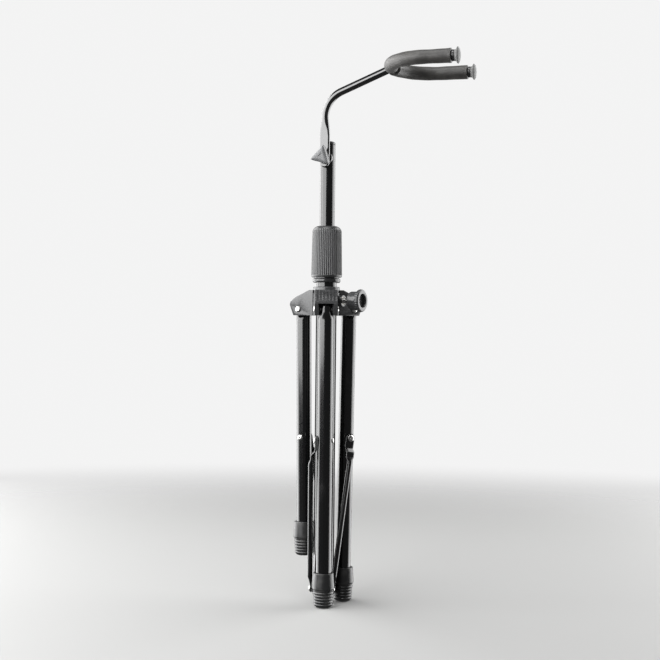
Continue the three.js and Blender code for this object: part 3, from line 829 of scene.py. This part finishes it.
# ------------------------------------------------------------------ hub
@dataclass
class Hub:
    """The sliding hub: a turned core, three roofed clevises with ribs, and the knob's boss."""

    edge_round: float = 0.45
    ribs: int = 7
    rib_pitch: float = 3.5
    rib_width: float = 1.25
    rib_height: float = 0.8
    roof: tuple = ((14.5, 325.0), (22.0, 321.0), (32.0, 316.7), (38.0, 312.4))

    def build(self) -> None:
        """Makes every piece of the hub."""
        self.body()
        self.roof_ribs()
        for leg in LEGS:
            self.leg_rivet(leg)
        repaint("hub_insert", Finish.INSERT)
        repaint("brake_pad", Finish.RUBBER)

    def body(self) -> None:
        """The hub's moulding, from the CAD shape: merged, its flats made whole, and its edges rounded."""
        source = frame["nodes"]["hub_body"]
        mesh = source.data.copy()
        work = bmesh.new()
        work.from_mesh(mesh)
        bmesh.ops.remove_doubles(work, verts=work.verts, dist=2e-6)
        bmesh.ops.dissolve_limit(work, angle_limit=math.radians(1.0), verts=work.verts, edges=work.edges)
        work.to_mesh(mesh)
        work.free()
        mesh.materials.clear()
        mesh.shade_smooth()
        piece = add_object("hub_body_finished", mesh)
        bevel = piece.modifiers.new("edges", "BEVEL")
        bevel.width = self.edge_round * MM
        bevel.segments = 3
        bevel.limit_method = "ANGLE"
        bevel.angle_limit = math.radians(24)
        bevel.harden_normals = True
        dress(piece, "hub_body", Finish.HUB)

    def roof_ribs(self) -> None:
        """Raised ribs down each roof: a rounded bar that follows the roof's slope from the rim to its lip."""
        line = rounded([(r, z, 2.5) for r, z in self.roof], steps=6)
        line[:, 1] += 0.1
        skins = []
        offsets = (np.arange(self.ribs) - self.ribs // 2) * self.rib_pitch
        run = (line[:, 0] - line[0, 0]) / (line[-1, 0] - line[0, 0])
        fade = smooth(0, 2.5, line[:, 0] - line[0, 0]) * (1 - smooth(-3.5, -0.6, line[:, 0] - line[-1, 0]))
        for leg in LEGS:
            pivot, axis = joint_place(f"leg_{leg}_hinge")
            outward = unit(np.array([pivot[0], pivot[1], 0.0]))
            tangent = -axis
            for offset in offsets:
                path = outward * line[:, :1] + tangent * offset + np.array([0, 0, 1.0]) * line[:, 1:]
                height = self.rib_height * (0.15 + 0.85 * fade)
                skins.append(sweep(path, tangent, height, self.rib_width * (0.28 + 0.32 * run), 0.7, 12))
        piece = make_mesh("hub_ribs", skins)
        piece.data.materials.append(Finish.HUB.material())
        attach(piece, "hub")
        LOG.info("hub_ribs: %d ribs", len(skins))

    def leg_rivet(self, leg: str) -> None:
        """A leg's pin: a shank between two domed heads, the outer one dimpled where it was peened.

        Args:
            leg: the leg's name.
        """
        pivot, axis = joint_place(f"leg_{leg}_hinge")
        face, crown, radius = 12.1, 13.5, 3.3
        head = rivet_profile(radius, face, crown, 0.9)
        tail = [(r, -z, f) for r, z, f in reversed(head)]
        corners = [(0, tail[0][1], 0), *tail, (2.5, -face, 0.1), (2.5, face, 0.1), *head, (0, head[-1][1], 0)]
        skin = revolve(rounded(corners)[1:-1], 40).placed(Place.along(pivot, axis))
        add_piece(f"leg_rivet_{leg}", [skin], Finish.STEEL)


@dataclass
class HubKnob:
    """The knob that clamps the hub: a waisted stem, a fluted flange with a deep recess, and its screw."""

    flutes: int = 30
    flats: int = 12
    stem: float = 9.75
    flange: float = 12.0
    start: float = 29.0
    step: float = 40.0
    end: float = 44.4

    def build(self) -> None:
        """Makes the knob and its screw."""
        pivot, axis = joint_place("hub_knob_turn")
        place = Place.along([0, 0, pivot[2]], axis)
        corners = [
            (3.2, self.start, 0.3), (self.stem - 1.2, self.start, 0.8), (self.stem, self.start + 1.6, 0.8),
            (self.stem, self.step - 0.8, 0.8), (self.flange - 0.7, self.step - 0.2, 0.5),
            (self.flange, self.step + 0.9, 0.5), (self.flange, self.end - 1.2, 0.7),
            (self.flange - 1.4, self.end, 0.7), (7.6, self.end, 0.6),
            (7.0, self.end - 1, 0.4), (6.6, self.end - 4.2, 0.6), (3.2, self.end - 4.4, 0.2),
        ]
        profile = rounded(corners, closed=True)

        def fluting(height: np.ndarray, angle: np.ndarray) -> np.ndarray:
            """Cuts shallow round flutes into the flange's edge and broad flats into the stem.

            Args:
                height: each row's height.
                angle: each column's angle.
            Returns:
                What is added to the radius.
            """
            step, end, start = self.step, self.end, self.start
            edge = smooth(step, step + 1, height) * (1 - smooth(end - 1.0, end - 0.2, height))
            stem = (1 - smooth(step - 1.2, step, height)) * smooth(start + 1, start + 2, height)
            outside = profile[:, :1] > 9
            fine = -0.32 * (0.5 - 0.5 * np.cos(self.flutes * angle)) ** 2
            broad = -0.22 * (0.5 - 0.5 * np.cos(self.flats * angle)) ** 4
            return (edge * fine + stem * broad) * outside

        skin = revolve(profile, self.flutes * 8, loop=True, swell=fluting)
        add_piece("hub_knob", [skin.placed(place)], Finish.HUB)
        self.screw(place)

    def screw(self, place: Place) -> None:
        """The bright screw: a threaded shank whose radius follows a fine wave along it.

        Args:
            place: where the knob's own axes lie.
        """
        low, high, pitch = 13.4, self.end - 4.6, 1.0
        height = np.linspace(low, high, int((high - low) / pitch * 6))
        radius = 2.72 + 0.17 * np.cos(TURN * height / pitch)
        radius[[0, -1]] = 2.2
        add_piece("hub_knob_screw", [revolve(np.stack([radius, height], 1), 32).placed(place)], Finish.STEEL)


# ------------------------------------------------------------------ legs and struts
@dataclass
class Leg:
    """A leg: a tube pinched at its hinge, a ribbed rubber foot, and the tail of its strut's rivet."""

    name: str
    radius: float = 8.0
    pinch: float = 5.5
    spread: float = 8.6
    pinch_start: float = -11.5
    pinch_end: float = -2.5
    crown: float = 7.0
    lean: float = math.radians(0.8)
    foot_height: float = 36.0
    strut_at: float = 138.0
    place: Place = field(init=False)
    length: float = field(init=False)

    def __post_init__(self) -> None:
        """Finds the hinge, the leg's own axes and its length from the frame."""
        pivot, axis = joint_place(f"leg_{self.name}_hinge")
        outward = unit(np.array([pivot[0], pivot[1], 0.0]))
        up = outward * math.sin(self.lean) + np.array([0, 0, math.cos(self.lean)])
        self.place = Place.along(pivot, up, outward)
        sole = next(row for row in frame["record"]["mounts"] if row["name"] == f"sole_{self.name}")
        self.length = float(np.linalg.norm(np.array(sole["pos_m"]) / MM - pivot))

    def build(self) -> None:
        """Makes the tube, the foot and the rivet's tail."""
        self.tube()
        self.foot()
        self.tail()

    def tube(self) -> None:
        """The tube: round below, squeezed to an oval towards the hinge, with a rounded crown."""
        end = -(self.length - 9)
        pinched = np.linspace(self.pinch_start - 1, self.pinch_end + 1, 26)
        heights = np.concatenate([[end, end + 0.4, -15], pinched, np.linspace(-1, self.crown, 14)])
        amount = smooth(self.pinch_start, self.pinch_end, heights)
        wide = self.radius + (self.spread - self.radius) * amount
        thick = self.radius + (self.pinch - self.radius) * amount
        curve = np.sqrt(np.clip(1 - (np.clip(heights, 0, None) / (self.crown * 1.18)) ** 2, 0, 1))
        wide, thick = wide * curve, thick * (0.82 + 0.18 * curve)
        wide[-1], thick[-1] = wide[-1] * 0.8, thick[-1] * 0.6
        line = np.stack([0 * heights, 0 * heights, heights], 1)
        power = 1 - 0.28 * amount
        skin = sweep(line, (0, 1, 0), wide, thick, power, 56)
        add_piece(f"leg_{self.name}", [skin.placed(self.place)], Finish.TUBE)

    def foot(self) -> None:
        """The foot: a band that flares down to a step, fine grooves below it, and an open top."""
        step, pitch, depth, top = 19.6, 3.1, 0.5, self.foot_height
        corners: list[Corner] = [(0, 0, 0), (7.4, 0, 0.9), (9.4, 1.7, 1.4)]
        for index in range(5):
            middle = 4.4 + pitch * index
            radius = 10.1 + 0.2 * index
            corners += [(radius, middle - 1.1, 0.3), (radius - depth, middle - 0.5, 0.25),
                        (radius - depth, middle + 0.35, 0.25), (radius + 0.1, middle + 0.95, 0.3)]
        corners += [(11.0, step - 0.9, 0.3), (11.75, step, 0.5), (11.6, step + 3, 2), (10.5, top, 0.5),
                    (8.3, top, 0.4), (8.25, top - 3, 0.2), (8.3, 9, 0.2), (0, 9, 0)]
        skin = revolve(rounded(corners, steps=4)[1:-1], 72)
        skin.points[..., 2] -= self.length
        add_piece(f"foot_{self.name}", [skin.placed(self.place)], Finish.RUBBER)

    def tail(self) -> None:
        """The leg's half of the strut's rivet: a shank through the tube, with a dimpled head."""
        head = rivet_profile(3.2, 7.9, 9.5, 0.8)
        skin = shafted(2.3, -7.8, head, head[-1][1])
        along = Place.along([0, 0, -self.strut_at], (0, 1, 0), (1, 0, 0))
        add_piece(f"rivet_tail_{self.name}", [skin.placed(along).placed(self.place)], Finish.STEEL)


@dataclass
class Strut:
    """A strut: a rod with a flattened end at the plug and a joggled, flattened eye at the leg."""

    name: str
    rod: float = 2.75
    rod_offset: float = 14.5
    eye_offset: float = 9.4
    tail_offset: float = 13.3
    place: Place = field(init=False)
    length: float = field(init=False)

    def __post_init__(self) -> None:
        """Finds the strut's two pivots, and so its direction and length, from the frame and its leg."""
        pivot = joint_place(f"strut_{self.name}_hinge")[0]
        leg = Leg(self.name)
        top = leg.place.put(np.array([[0, 0, -leg.strut_at]]))[0]
        self.length = float(np.linalg.norm(top - pivot))
        self.place = Place.along(pivot, top - pivot, leg.place.axes[:, 0])

    def build(self) -> None:
        """Makes the bar, its rivet head and its screw."""
        self.bar()
        self.rivet_head()
        self.screw()

    def bar(self) -> None:
        """The bar: its offset, half width and half thickness run smoothly between the stations up it."""
        n, tail, eye = self.length, self.tail_offset, self.eye_offset
        stations = np.array([
            [-4.3, tail, 0.8, 0.7], [-3.9, tail, 1.9, 0.95], [-2.6, tail, 3.1, 1.0], [-0.8, tail, 3.8, 1.0],
            [4.5, tail, 3.8, 1.0], [9, 13.8, 3.3, 1.9], [14, self.rod_offset, self.rod, self.rod],
            [n - 26, self.rod_offset, self.rod, self.rod], [n - 23.5, 14.3, 3.1, 2.4],
            [n - 20, 13.9, 4.5, 1.3], [n - 15.5, 13.5, 4.7, 1.15], [n - 14.3, 13.1, 4.7, 1.15],
            [n - 11.2, 9.8, 4.8, 1.15], [n - 10, eye, 5.0, 1.1], [n + 0.5, eye, 5.0, 1.1],
            [n + 2.9, eye, 4.2, 1.1], [n + 4.4, eye, 2.6, 1.0], [n + 5, eye, 1.2, 0.8],
        ])
        ends = [np.linspace(-4.3, 16, 26), np.linspace(n - 30, n + 5, 44)]
        height = np.unique(np.concatenate([stations[:, 0], *ends]))
        offset, wide, thick = (np.interp(height, stations[:, 0], stations[:, k]) for k in (1, 2, 3))
        line = np.stack([0 * height, -offset, height], 1)
        power = 1 - 0.5 * (1 - smooth(0.3, 0.8, thick / wide))
        skin = sweep(line, (0, 1, 0), wide, thick, power, 28)
        add_piece(f"strut_{self.name}", [skin.placed(self.place)], Finish.ROD)

    def rivet_head(self) -> None:
        """The strut's half of its rivet: a short shank under a broad dimpled head."""
        head = rivet_profile(3.75, 10.6, 12.1, 0.9)
        skin = shafted(2.0, 8.4, head, head[-1][1])
        along = Place.along([0, 0, self.length], (0, -1, 0), (1, 0, 0))
        add_piece(f"rivet_head_{self.name}", [skin.placed(along).placed(self.place)], Finish.STEEL)

    def screw(self) -> None:
        """The screw at the plug, its head rounded over the bar's flattened end."""
        head = rivet_profile(3.2, 14.4, 15.9, 1.0)
        skin = shafted(1.7, 5.1, head, head[-1][1])
        along = Place.along([0, 0, 0], (0, -1, 0), (1, 0, 0))
        add_piece(f"strut_screw_{self.name}", [skin.placed(along).placed(self.place)], Finish.STEEL)


# ------------------------------------------------------------------ neck and fork
@dataclass
class Neck:
    """The tilt joint and the bent rod that rises from it to the fork."""

    radius: float = 4.0
    bend_radius: float = 29.0
    bend: float = math.radians(68)
    bend_start: float = 508.0
    pivot: np.ndarray = field(init=False)

    def __post_init__(self) -> None:
        """Finds the tilt joint's axis."""
        self.pivot = joint_place("neck_tilt")[0]

    def build(self) -> None:
        """Makes the rod, the bolt and the saddle."""
        self.rod()
        self.bolt()
        self.saddle()

    def line(self, travel: np.ndarray) -> np.ndarray:
        """Returns points by distance above the bend's start: straight, an arc, then straight out.

        Args:
            travel: distances above the bend's start.
        Returns:
            The points, one row each.
        """
        turned = np.clip(travel / self.bend_radius, 0, self.bend)
        beyond = np.clip(travel - self.bend_radius * self.bend, 0, None)
        x = self.bend_radius * (1 - np.cos(turned)) + beyond * math.sin(self.bend)
        rise = np.minimum(travel, 0) + self.bend_radius * np.sin(turned) + beyond * math.cos(self.bend)
        return np.stack([x, 0 * x + self.pivot[1], self.bend_start + rise], 1)

    def rod(self) -> None:
        """The rod: a flattened eye that swells to round, the bend, and a weld's flare at the fork."""
        low = box("neck_rod")[0][2]
        fork = Fork()
        end_x = fork.centre[0] - fork.bend
        arc = self.bend_radius * self.bend
        reach = (end_x - self.bend_radius * (1 - math.cos(self.bend))) / math.sin(self.bend) + arc
        stations = np.array([
            [low, 0.8, 1.1], [low + 0.5, 2.2, 1.5], [low + 1.6, 3.7, 1.7], [low + 3.6, 4.9, 1.7],
            [low + 6, 5.35, 1.7], [489, 5.35, 1.7], [495, 5.05, 2.25], [501, 4.5, 3.2], [507, 4.05, 3.95],
            [512, self.radius, self.radius],
        ])
        travel = np.unique(np.concatenate([
            stations[:, 0] - self.bend_start, np.linspace(low - self.bend_start, 4, 60),
            np.linspace(4, reach - 5, 70), np.linspace(reach - 5, reach - 0.6, 10),
        ]))
        flare = 1 + 0.34 * smooth(reach - 4.2, reach - 1.2, travel)
        height = travel + self.bend_start
        wide = np.interp(height, stations[:, 0], stations[:, 1]) * flare
        thick = np.interp(height, stations[:, 0], stations[:, 2]) * flare
        power = 1 - 0.55 * (1 - smooth(0.35, 0.95, thick / wide))
        skin = sweep(self.line(travel), (0, 1, 0), wide, thick, power, 40)
        add_piece("neck_rod", [skin], Finish.NECK)

    def bolt(self) -> None:
        """The bolt: a chamfered six-sided head behind the tube, and a shank that runs into the knob."""
        def hexagon(height: np.ndarray, angle: np.ndarray) -> np.ndarray:
            """Draws the head's radius in to six flats, and leaves the shank round.

            Args:
                height: each row's height.
                angle: each column's angle.
            Returns:
                What is added to the radius.
            """
            third = TURN / 6
            flat = math.cos(third / 2) / np.cos(np.mod(angle, third) - third / 2)
            return np.where(head_rows, profile[:, :1] * (flat - 1), 0)

        corners = [(0, -25.4, 0), (2.9, -25.4, 0.5), (2.9, 8.4, 0.1), (5.1, 8.4, 0.15), (5.1, 11.6, 0.15),
                   (4.5, 12.2, 0.15), (0, 12.2, 0)]
        profile = rounded(corners)[1:-1]
        head_rows = (profile[:, 1:] > 8.39) & (profile[:, :1] > 3)
        place = Place.along([0, 0, self.pivot[2]], (0, 1, 0))
        add_piece("neck_bolt", [revolve(profile, 72, swell=hexagon).placed(place)], Finish.STEEL)

    def saddle(self) -> None:
        """The spacer: a round pad, its back hollowed as y = -sqrt(R^2 - x^2) to fit the tube."""
        front = box("neck_saddle")[0][1]
        seat = box("extension_tube")[1][0] + 0.3
        angle = np.linspace(0, TURN, 64, endpoint=False)[None, :]
        radius = np.array([3.4, 5.4, 6.6, 7, 7, 7, 6.6, 5.4, 3.4])[:, None]
        x, z = radius * np.cos(angle), radius * np.sin(angle)
        back = -np.sqrt(seat**2 - x**2)
        near = np.array([0, 0, 0, 0.35])[:, None]
        y = np.concatenate([front + near + 0 * angle, 0.5 * (back[4:5] + front), back[5:]])
        points = np.stack([x, y, z + self.pivot[2]], -1)
        add_piece("neck_saddle", [Skin(points, loop=True)], Finish.DARK)


class Side(Enum):
    """The fork's two arms, and which way each lies from the neck's plane."""

    NEAR = -1
    FAR = 1


@dataclass
class Fork:
    """The U-shaped rod, its foam sleeves, and the stops and caps on its ends."""

    rod_radius: float = 4.0
    foam: float = 7.15
    flare: float = 0.45
    foam_start: float = 5.0
    edge_round: float = 0.9
    bend: float = field(init=False)
    centre: np.ndarray = field(init=False)
    tip: float = field(init=False)
    foam_end: float = field(init=False)

    def __post_init__(self) -> None:
        """Works out the bend's radius and centre and the arms' reach from the CAD rod's box."""
        low, high = box("fork_rod")
        self.bend = float(high[1] - low[1]) / 2 - self.rod_radius
        middle = (low + high) / 2
        self.centre = np.array([low[0] + self.rod_radius + self.bend, middle[1], middle[2]])
        self.tip = float(high[0])
        self.foam_end = float(box("foam_near")[1][0])

    def line(self, travel: np.ndarray) -> np.ndarray:
        """Returns points by signed distance from the bend's middle: an arc, then a straight arm.

        Args:
            travel: signed distances from the bend's middle.
        Returns:
            The points, one row each.
        """
        quarter = self.bend * math.pi / 2
        turned = np.clip(np.abs(travel) / self.bend, 0, math.pi / 2)
        beyond = np.clip(np.abs(travel) - quarter, 0, None)
        x = -self.bend * np.cos(turned) + beyond
        y = np.sign(travel) * self.bend * np.sin(turned)
        return self.centre + np.stack([x, y, 0 * x], 1)

    def reach(self, x: float) -> float:
        """Returns the distance along the line at which an arm comes to x."""
        return self.bend * math.pi / 2 + x - float(self.centre[0])

    def build(self) -> None:
        """Makes the rod and what each arm carries."""
        end = self.reach(self.tip)
        travel = np.linspace(-end, end, 150)
        size = np.full(len(travel), self.rod_radius)
        add_piece("fork_rod", [sweep(self.line(travel), (0, 0, 1), size, size, 1.0, 32)], Finish.ROD)
        for side in Side:
            self.sleeve(side)
            self.stop(side)
            self.cap(side)

    def sleeve(self, side: Side) -> None:
        """A foam sleeve: a soft tube, a little uneven and flared at its ends.

        Args:
            side: the arm that it is on.
        """
        start, end = self.foam_start, self.reach(self.foam_end)
        t = np.linspace(0, 1, 170)
        travel = start + (end - start) * t
        wander = 0.1 * np.sin(travel / 6.3 + side.value) + 0.07 * np.sin(travel / 2.9 + 2 * side.value)
        lip = self.flare * (np.exp(-(travel - start) / 3.0) + np.exp(-(end - travel) / 3.2))
        from_edge = np.minimum(travel - start, end - travel) / self.edge_round
        edge = 1.0 - np.sqrt(1 - np.clip(1 - from_edge, 0, 1) ** 2)
        outer = self.foam + wander + lip - self.edge_round * edge
        bore = np.full(8, self.rod_radius + 0.25)
        radius = np.concatenate([outer, bore])
        back = np.linspace(travel[-1], travel[0], 8)
        route = side.value * np.concatenate([travel, back])
        skin = self.ring_sweep(self.line(route), route, radius)
        piece = add_piece(f"foam_{side.name.lower()}", [skin], Finish.FOAM)

    def ring_sweep(self, line: np.ndarray, travel: np.ndarray, radius: np.ndarray) -> Skin:
        """Carries circles along the fork's line, out along the skin and back down its bore.

        Args:
            line: centre of each circle.
            travel: signed distance of each circle along the line, which gives its direction.
            radius: each circle's radius.
        Returns:
            The surface, closed in a loop.
        """
        turned = np.clip(np.abs(travel) / self.bend, 0, math.pi / 2)
        tangent = np.stack([np.sin(turned), np.sign(travel) * np.cos(turned), 0 * turned], 1)
        up = np.array([0, 0, 1.0])
        side = np.cross(up[None], tangent)
        angle = np.linspace(0, TURN, 48, endpoint=False)[None, :, None]
        ring = np.cos(angle) * side[:, None] + np.sin(angle) * up
        return Skin(line[:, None] + radius[:, None, None] * ring, loop=True)

    def arm_place(self, side: Side) -> Place:
        """Returns the place whose Z axis runs out along an arm, with x measured from the frame's origin."""
        origin = [0, self.centre[1] + side.value * self.bend, self.centre[2]]
        return Place.along(origin, (1, 0, 0), (0, 0, 1))

    def stop(self, side: Side) -> None:
        """The dark collar behind a cap.

        Args:
            side: the arm that it is on.
        """
        node = f"foam_stop_{side.name.lower()}"
        low, high = box(node)
        skin = tube_skin(5.75, 4.25, low[0], high[0], 0.5, 48)
        add_piece(node, [skin.placed(self.arm_place(side))], Finish.DARK)

    def cap(self, side: Side) -> None:
        """The cap: a short neck that flares to a thin rim under a low dome.

        Args:
            side: the arm that it is on.
        """
        node = f"end_cap_{side.name.lower()}"
        low, high = box(node)
        start, end = low[0], high[0]
        corners = [
            (4.3, start, 0.2), (5.8, start, 0.3), (6.0, start + 1.3, 0.8), (8.3, end - 2.7, 0.5),
            (8.5, end - 2.2, 0.3), (7.4, end - 1.1, 0.8), (4.5, end - 0.25, 1.6), (0.4, end, 0.4),
        ]
        closing = [(0.0, self.tip + 0.3), (4.3, self.tip + 0.3)]
        profile = np.vstack([closing, rounded(corners)])
        add_piece(node, [revolve(profile, 64).placed(self.arm_place(side))], Finish.CAP)


@dataclass
class NeckKnob:
    """The three-pointed knob that clamps the tilt joint."""

    corners: int = 3
    angle: float = math.radians(76)
    tip: float = 13.2
    flat: float = 6.4
    back: float = 18.3
    face: float = 28.0
    stem: float = 5.6
    start: float = 13.3

    def build(self) -> None:
        """Makes the knob: its outline is a triangle with blunt points, its rim rounded front and back.

        A straight side lies flat / cos(half a corner's turn - u) from the axis, at an angle u from
        a point. It is blended with the circle of radius tip by the power mean of order -8.
        """
        pivot = joint_place("neck_knob_turn")[0]
        angle = np.linspace(0, TURN, 144, endpoint=False)[None, :]
        from_tip = np.arccos(np.clip(np.cos(self.corners * (angle - self.angle)), -1, 1)) / self.corners
        side = self.flat / np.cos(math.pi / self.corners - from_tip)
        outline = (side**-8 + self.tip**-8) ** -0.125
        rows = [(3.3, self.start), (5.0, self.start), (self.stem, self.start + 0.6),
                (self.stem, self.back - 0.5), (self.stem + 0.6, self.back)]
        back, face = self.back, self.face
        rim = [(2.6, back + 0.15), (1.4, back + 0.5), (0.5, back + 1.3), (0.05, back + 2.6),
               (0.0, back + 4.5), (0.0, face - 4.0), (0.15, face - 2.4), (0.7, face - 1.2),
               (1.6, face - 0.5), (2.8, face - 0.12)]
        radius = [np.full_like(angle, r) for r, _ in rows] + [outline - inset for inset, _ in rim]
        height = [z for _, z in rows + rim]
        for share, depth in ((0.6, 0.0), (0.35, -0.05), (0.3, -0.5), (0.12, -0.6)):
            radius.append((outline - 2.8) * share)
            height.append(self.face + depth)
        reach = np.vstack(radius)
        level = np.array(height)[:, None] + 0 * angle
        points = np.stack([reach * np.cos(angle), -level, pivot[2] + reach * np.sin(angle)], -1)
        add_piece("neck_knob", [Skin(points)], Finish.KNOB)
        repaint("neck_knob_insert", Finish.INSERT)


# ------------------------------------------------------------------ studio
@dataclass
class Studio:
    """The camera, the pale floor and the soft lights."""

    azimuth: float = math.radians(17)
    distance: float = 1380.0
    aim_height: float = 282.5
    aim_right: float = 4.2
    roll: float = math.radians(0.6)
    view_width: float = 706.0
    world_light: float = 0.13
    world_seen: float = 0.9
    floor_full: float = 0.55
    floor_gone: float = 1.5
    floor_half: float = 2.5
    floor_gap: float = 0.0005
    floor_colour: Colour = (0.28, 0.28, 0.277)
    sensor: float = 36.0

    def build(self) -> None:
        """Makes the camera, the floor, the world and the lights."""
        self.camera()
        self.floor()
        self.world()
        self.soft_light("key_light", (-56, 1350, 760), (1900, 1250), 5.4)
        self.soft_light("edge_light", (-117, 1000, 440), (1300, 1700), 3.9)
        self.soft_light("right_light", (114, 1000, 440), (1200, 1700), 3.4)
        self.soft_light("top_light", (-20, 500, 1800), (900, 700), 7.0)

    def toward(self) -> np.ndarray:
        """Returns the level direction from the stand to the camera."""
        return np.array([math.sin(self.azimuth), -math.cos(self.azimuth), 0.0])

    def rightward(self) -> np.ndarray:
        """Returns the level direction to the camera's right."""
        return np.array([math.cos(self.azimuth), math.sin(self.azimuth), 0.0])

    def camera(self) -> None:
        """A level camera, rolled a little, that takes in the whole folded stand."""
        data = bpy.data.cameras.new("camera")
        data.sensor_width = self.sensor
        data.lens = self.sensor * self.distance / self.view_width
        data.clip_end = 50
        toward, right = self.toward(), self.rightward()
        centre = right * self.aim_right + np.array([0, 0, self.aim_height])
        turn = np.array([math.cos(self.roll), math.sin(self.roll)])
        up = np.array([0, 0, 1.0])
        x_axis = right * turn[0] + up * turn[1]
        y_axis = up * turn[0] - right * turn[1]
        axes = np.stack([x_axis, y_axis, toward], axis=1)
        bpy.context.scene.camera = add_object("camera", data, Place(centre + toward * self.distance, axes))

    def floor(self) -> None:
        """A plain pale floor just under the two long feet, which fades out into the surroundings.

        Glossy reflections pass it by, so the side lights show on the tubes right down to the feet.
        """
        level = float(CAD_BOUNDS[0][2]) - self.floor_gap
        half = self.floor_half
        mesh = bpy.data.meshes.new("floor")
        spots = [(x * half, y * half, level) for x, y in ((-1, -1), (1, -1), (1, 1), (-1, 1))]
        mesh.from_pydata(spots, [], [(0, 1, 2, 3)])
        floor = add_object("floor", mesh)
        sheet = Sheet("pale_floor")
        away = sheet.add("ShaderNodeVectorMath", {"operation": "LENGTH"}, {0: sheet.place}, "Value")
        faded = sheet.step(away, self.floor_full, self.floor_gone)
        clear = sheet.add("ShaderNodeBsdfTransparent", {}, {})
        sheet.finish(Base_Color=(*self.floor_colour, 1), Roughness=0.7, Specular_IOR_Level=0.2)
        opaque = Wire(sheet, sheet.shader.outputs[0])
        mixed = sheet.add("ShaderNodeMixShader", {}, {0: faded, 1: opaque, 2: clear})
        sheet.tree.links.new(mixed.socket, sheet.tree.nodes["Material Output"].inputs["Surface"])
        mesh.materials.append(sheet.material)
        floor.visible_glossy = False

    def world(self) -> None:
        """Even, nearly white surroundings."""
        world = bpy.data.worlds.new("surroundings")
        world.use_nodes = True
        tree = world.node_tree
        background = tree.nodes["Background"]
        background.inputs["Color"].default_value = (1, 1, 1, 1)
        seen = tree.nodes.new("ShaderNodeLightPath").outputs["Is Camera Ray"]
        strength = tree.nodes.new("ShaderNodeMapRange")
        strength.inputs["To Min"].default_value = self.world_light
        strength.inputs["To Max"].default_value = self.world_seen
        tree.links.new(seen, strength.inputs["Value"])
        tree.links.new(strength.outputs["Result"], background.inputs["Strength"])
        bpy.context.scene.world = world
        bpy.context.scene.view_settings.view_transform = "Standard"

    def soft_light(
        self, name: str, spot: tuple[float, float, float], size: tuple[float, float], glow: float
    ) -> None:
        """Adds a rectangular light that faces the stand.

        Args:
            name: the light's name.
            spot: its bearing in degrees from the camera's line, to the right, and its middle's
                distance from the mast and height in millimetres.
            size: its width and height in millimetres.
            glow: its brightness, where 1 shows as white.
        """
        data = bpy.data.lights.new(name, "AREA")
        data.shape = "RECTANGLE"
        data.size, data.size_y = size[0] * MM, size[1] * MM
        data.energy = 4 * glow * data.size * data.size_y
        bearing, reach, height = spot
        turn = math.radians(bearing)
        away = self.rightward() * math.sin(turn) + self.toward() * math.cos(turn)
        place = away * reach + np.array([0, 0, height])
        back = unit(place - np.array([0, 0, self.aim_height]))
        x_axis = unit(np.cross([0, 0, 1.0], back))
        axes = np.stack([x_axis, np.cross(back, x_axis), back], axis=1)
        add_object(name, data, Place(place, axes)).visible_camera = False


# ------------------------------------------------------------------ the whole stand
def main() -> None:
    """Builds the studio and then every sub-assembly of the stand."""
    logging.basicConfig(level=logging.INFO, format="%(name)s: %(message)s")
    Studio().build()
    Mast().build()
    Hub().build()
    HubKnob().build()
    for name in LEGS:
        Leg(name).build()
        Strut(name).build()
    Neck().build()
    Fork().build()
    NeckKnob().build()


if __name__ == "__main__":
    main()
